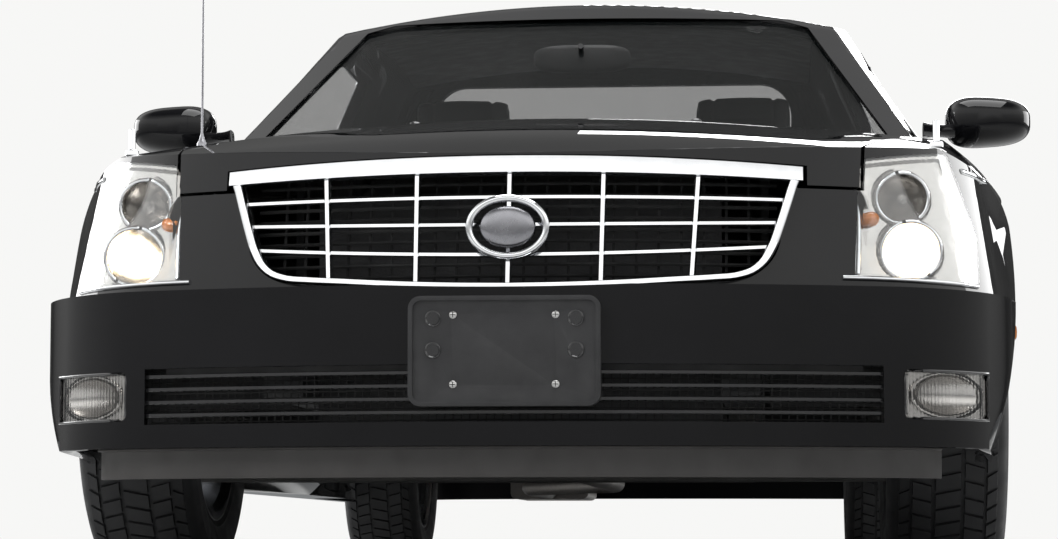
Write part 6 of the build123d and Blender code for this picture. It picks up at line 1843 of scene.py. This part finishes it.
class FLOWERCAR_OT_small_parts(bpy.types.Operator):
    """Dresses the air dam, the flag sockets, the antenna, the exhaust's end and the engine"""

    bl_idname = "flowercar.small_parts"
    bl_label = "Small parts"

    def execute(self, context):
        dress("air_dam", "dam", 0.0012, 30)
        dress("exhaust", "exhaust_steel")
        sockets, mast = Shape(), Shape()
        low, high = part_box("flag_sockets")
        x, y, top = high[0] - 0.013, (low[1] + high[1]) / 2, high[2]
        foot = low[2] + 0.006
        sockets.turned(
            [
                (0.0040, top - 0.030), (0.0040, top - 0.0006), (0.0046, top), (0.0060, top),
                (0.0065, top - 0.0008), (0.0065, foot + 0.009), (0.0075, foot + 0.0072),
                (0.0118, foot + 0.0068), (0.0130, foot + 0.0050), (0.0130, foot - 0.004),
                (0.0003, foot - 0.004), (0.0003, top - 0.030),
            ],
            (x, y, 0), (0, 0, 1), 32,
        )
        sockets.mirror().build("flag_tubes", "chrome", replaces=("flag_sockets",), angle=40)
        low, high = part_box("antenna")
        x, y, foot, top = (low[0] + high[0]) / 2, (low[1] + high[1]) / 2, low[2] + 0.008, high[2]
        mast.turned(
            [
                (0.0003, top), (0.0030, top - 0.0008), (0.0048, top - 0.0032), (0.0030, top - 0.0058),
                (0.0017, top - 0.0066), (0.0026, foot + 0.120), (0.0026, foot + 0.030),
                (0.0050, foot + 0.022), (0.0075, foot + 0.0130), (0.0115, foot + 0.0060),
                (0.0120, foot - 0.004), (0.0003, foot - 0.004),
            ],
            (x, y, 0), (0, 0, 1), 28,
        )
        mast.build("antenna_mast", "satin", slot="trim_plastic", replaces=("antenna",), angle=40)
        tip = Shape().turned(EXHAUST_TIP, (-0.300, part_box("exhaust")[1][1] - 0.100, 0.262), (0, 1, 0), 48)
        tip.build("exhaust_tip", "chrome", angle=40)
        dress("engine_block", "iron", 0.004, 30)
        low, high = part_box("engine_block")
        rib = Shape().loft([
            [(x, y, z) for x, z in ((-0.003, 0), (-0.0022, 0.007), (0.0022, 0.007), (0.003, 0))]
            for y in (low[1] + 0.09, low[1] + 0.50)
        ])
        front, top = low[1] + 0.070, high[2] + 0.010
        cover = Shape().block((-0.250, front, high[2] - 0.004), (0.250, low[1] + 0.520, top))
        cover.build("engine_cover", "trim", slot="iron", bevel=0.006, angle=32)
        repeated(
            "cover_ribs", rib, "dash", 17, step=(0.0260, 0, 0), centre=(-0.208, 0, high[2] + 0.010),
            slot="iron", angle=30,
        )
        hoses = Shape()
        for sign in (1, -1):
            path = [(sign * x, low[1] + along, z) for x, along, z in HOSE]
            hoses.tube(smooth_path(path, 24), 0.021, 18)
        hoses.build("coolant_hoses", "rubber")
        return {"FINISHED"}


class FLOWERCAR_OT_fittings(bpy.types.Operator):
    """Gives every other CAD piece its finish"""

    bl_idname = "flowercar.fittings"
    bl_label = "Fittings"

    def execute(self, context):
        other = {
            "trim_plastic": "trim", "bumper_paint": "paint", "body_paint": "paint", "clear_lens": "lens",
            "red_lens": "red", "interior": "dash", "radiator": "core", "structure": "under",
        }
        for row in frame["record"]["subparts"]:
            slot = row["material_slot"]
            coat(frame["nodes"][row["node"]].data, other.get(slot, slot))
        return {"FINISHED"}


# Share of the way up the sky, and its light there.
SKY_LIGHT = ((0.0, 0.46), (0.10, 0.62), (0.30, 1.5), (0.54, 1.7), (0.88, 0.12))


class FLOWERCAR_OT_stage(bpy.types.Operator):
    """Sets the floor, the backdrop, the lamps and the camera"""

    bl_idname = "flowercar.stage"
    bl_label = "Stage"

    def execute(self, context):
        floor = bpy.data.meshes.new("studio_floor")
        floor.from_pydata([(-40, -40, 0), (40, -40, 0), (40, 40, 0), (-40, 40, 0)], [], [(0, 1, 2, 3)])
        made = Finish("pale_floor").set(specular_ior_level=0.2)
        made.tint(made.noise(0.6, 4.0), (0.62, 0.62, 0.61), (0.66, 0.66, 0.65))
        made.rough(made.noise(3.0), 0.55, 0.7)
        floor.materials.append(made.material)
        linked("studio_floor", floor)
        context.scene.world = self.backdrop()
        lamps = (
            ("top_softbox", (0.4, -1.7, 4.6), (0, 0, 0), (3.2, 4.6), 230),
            ("nose_softbox", (-2.6, -6.6, 3.0), (52, 0, -22), (3.0, 1.6), 150),
            ("left_strip", (4.8, 2.3, 2.0), (0, 66, 0), (1.6, 5.0), 110),
            ("right_strip", (-4.8, 2.3, 2.2), (0, -64, 0), (1.6, 5.0), 120),
            ("tail_softbox", (1.2, 6.8, 3.2), (-58, 0, 0), (3.4, 1.8), 120),
        )
        for name, place, turn, size, power in lamps:
            data = bpy.data.lights.new(name, "AREA")
            data.shape = "RECTANGLE"
            data.size, data.size_y = size
            data.energy = power
            lamp = linked(name, data)
            lamp.location = place
            lamp.rotation_euler = [math.radians(a) for a in turn]
            lamp.visible_glossy = name != "nose_softbox"
        data = bpy.data.cameras.new("photo_camera")
        data.sensor_width = 36.0
        data.lens = 103.75
        data.clip_start = 0.05
        camera = linked("photo_camera", data)
        camera.location = (0.477, -8.277, 0.079)
        camera.rotation_euler = (math.radians(95.05), 0.0, math.radians(4.74))
        context.scene.camera = camera
        context.scene.view_settings.view_transform = "Standard"
        return {"FINISHED"}

    def backdrop(self):
        """A dim plain sky; to the camera and in reflections bright, with a dark crown and tail end."""
        world = bpy.data.worlds.new("studio")
        world.use_nodes = True
        tree = world.node_tree
        tree.nodes.clear()

        def node(kind, operation=None, **values):
            made = tree.nodes.new("ShaderNode" + kind)
            if operation:
                made.operation = operation
            for name, value in values.items():
                made.inputs[name.replace("_", " ")].default_value = value
            return made

        out, mix = node("OutputWorld"), node("MixShader")
        dim = node("Background", Color=(0.55, 0.57, 0.60, 1), Strength=0.55)
        bright = node("Background", Color=(0.93, 0.93, 0.92, 1))
        ray, sky, split, fade = node("LightPath"), node("TexCoord"), node("SeparateXYZ"), node("ValToRGB")
        sharp, clear, level = (node("Math", "MAXIMUM") for _ in range(3))
        behind = node("MapRange", From_Min=0.55, From_Max=0.85, To_Min=1.0, To_Max=0.10)
        shaded = node("Math", "MULTIPLY")
        stops = fade.color_ramp.elements
        for i, (height, light) in enumerate(SKY_LIGHT):
            stop = stops[i] if i < 1 else stops.new(height) if i < 4 else stops[-1]
            stop.position, stop.color = height, (light, light, light, 1)
        for start, output, end, socket in (
            (ray, "Is Camera Ray", sharp, 0), (ray, "Is Glossy Ray", sharp, 1), (sharp, 0, clear, 0),
            (ray, "Is Transmission Ray", clear, 1), (clear, 0, mix, 0), (sky, "Generated", split, 0),
            (split, "Z", fade, 0), (split, "Y", behind, "Value"), (fade, "Color", shaded, 0),
            (behind, "Result", shaded, 1), (shaded, 0, level, 0), (ray, "Is Camera Ray", level, 1),
            (level, 0, bright, "Strength"), (dim, 0, mix, 1), (bright, 0, mix, 2), (mix, 0, out, "Surface"),
        ):
            tree.links.new(start.outputs[output], end.inputs[socket])
        return world


STEPS = [
    FLOWERCAR_OT_fittings, FLOWERCAR_OT_bodywork, FLOWERCAR_OT_grille, FLOWERCAR_OT_headlamps,
    FLOWERCAR_OT_fog_lamps, FLOWERCAR_OT_front_plate, FLOWERCAR_OT_mirrors, FLOWERCAR_OT_wheels,
    FLOWERCAR_OT_intake, FLOWERCAR_OT_screen_fittings, FLOWERCAR_OT_side_trims, FLOWERCAR_OT_bed,
    FLOWERCAR_OT_tail, FLOWERCAR_OT_seats, FLOWERCAR_OT_cabin, FLOWERCAR_OT_small_parts, FLOWERCAR_OT_stage,
]


class FLOWERCAR_PT_sidebar(bpy.types.Panel):
    """Lists the flower car's pieces and their sizes"""

    bl_label = "Flower Car"
    bl_idname = "FLOWERCAR_PT_sidebar"
    bl_space_type = "VIEW_3D"
    bl_region_type = "UI"
    bl_category = "Flower Car"

    def draw(self, context):
        for name, group in GROUPS.items():
            box = self.layout.box()
            box.label(text=group.__doc__)
            for prop in group.__annotations__:
                box.prop(getattr(context.scene, name), prop)
        for step in STEPS:
            self.layout.operator(step.bl_idname)


CLASSES = [*GROUPS.values(), *STEPS, FLOWERCAR_PT_sidebar]


def register():
    for cls in CLASSES:
        bpy.utils.register_class(cls)
    for name, group in GROUPS.items():
        setattr(bpy.types.Scene, name, bpy.props.PointerProperty(type=group))


def unregister():
    for name in GROUPS:
        delattr(bpy.types.Scene, name)
    for cls in reversed(CLASSES):
        bpy.utils.unregister_class(cls)


def main():
    register()
    make_finishes()
    for step in STEPS:
        group, name = step.bl_idname.split(".")
        getattr(getattr(bpy.ops, group), name)()


if __name__ == "__main__":
    main()
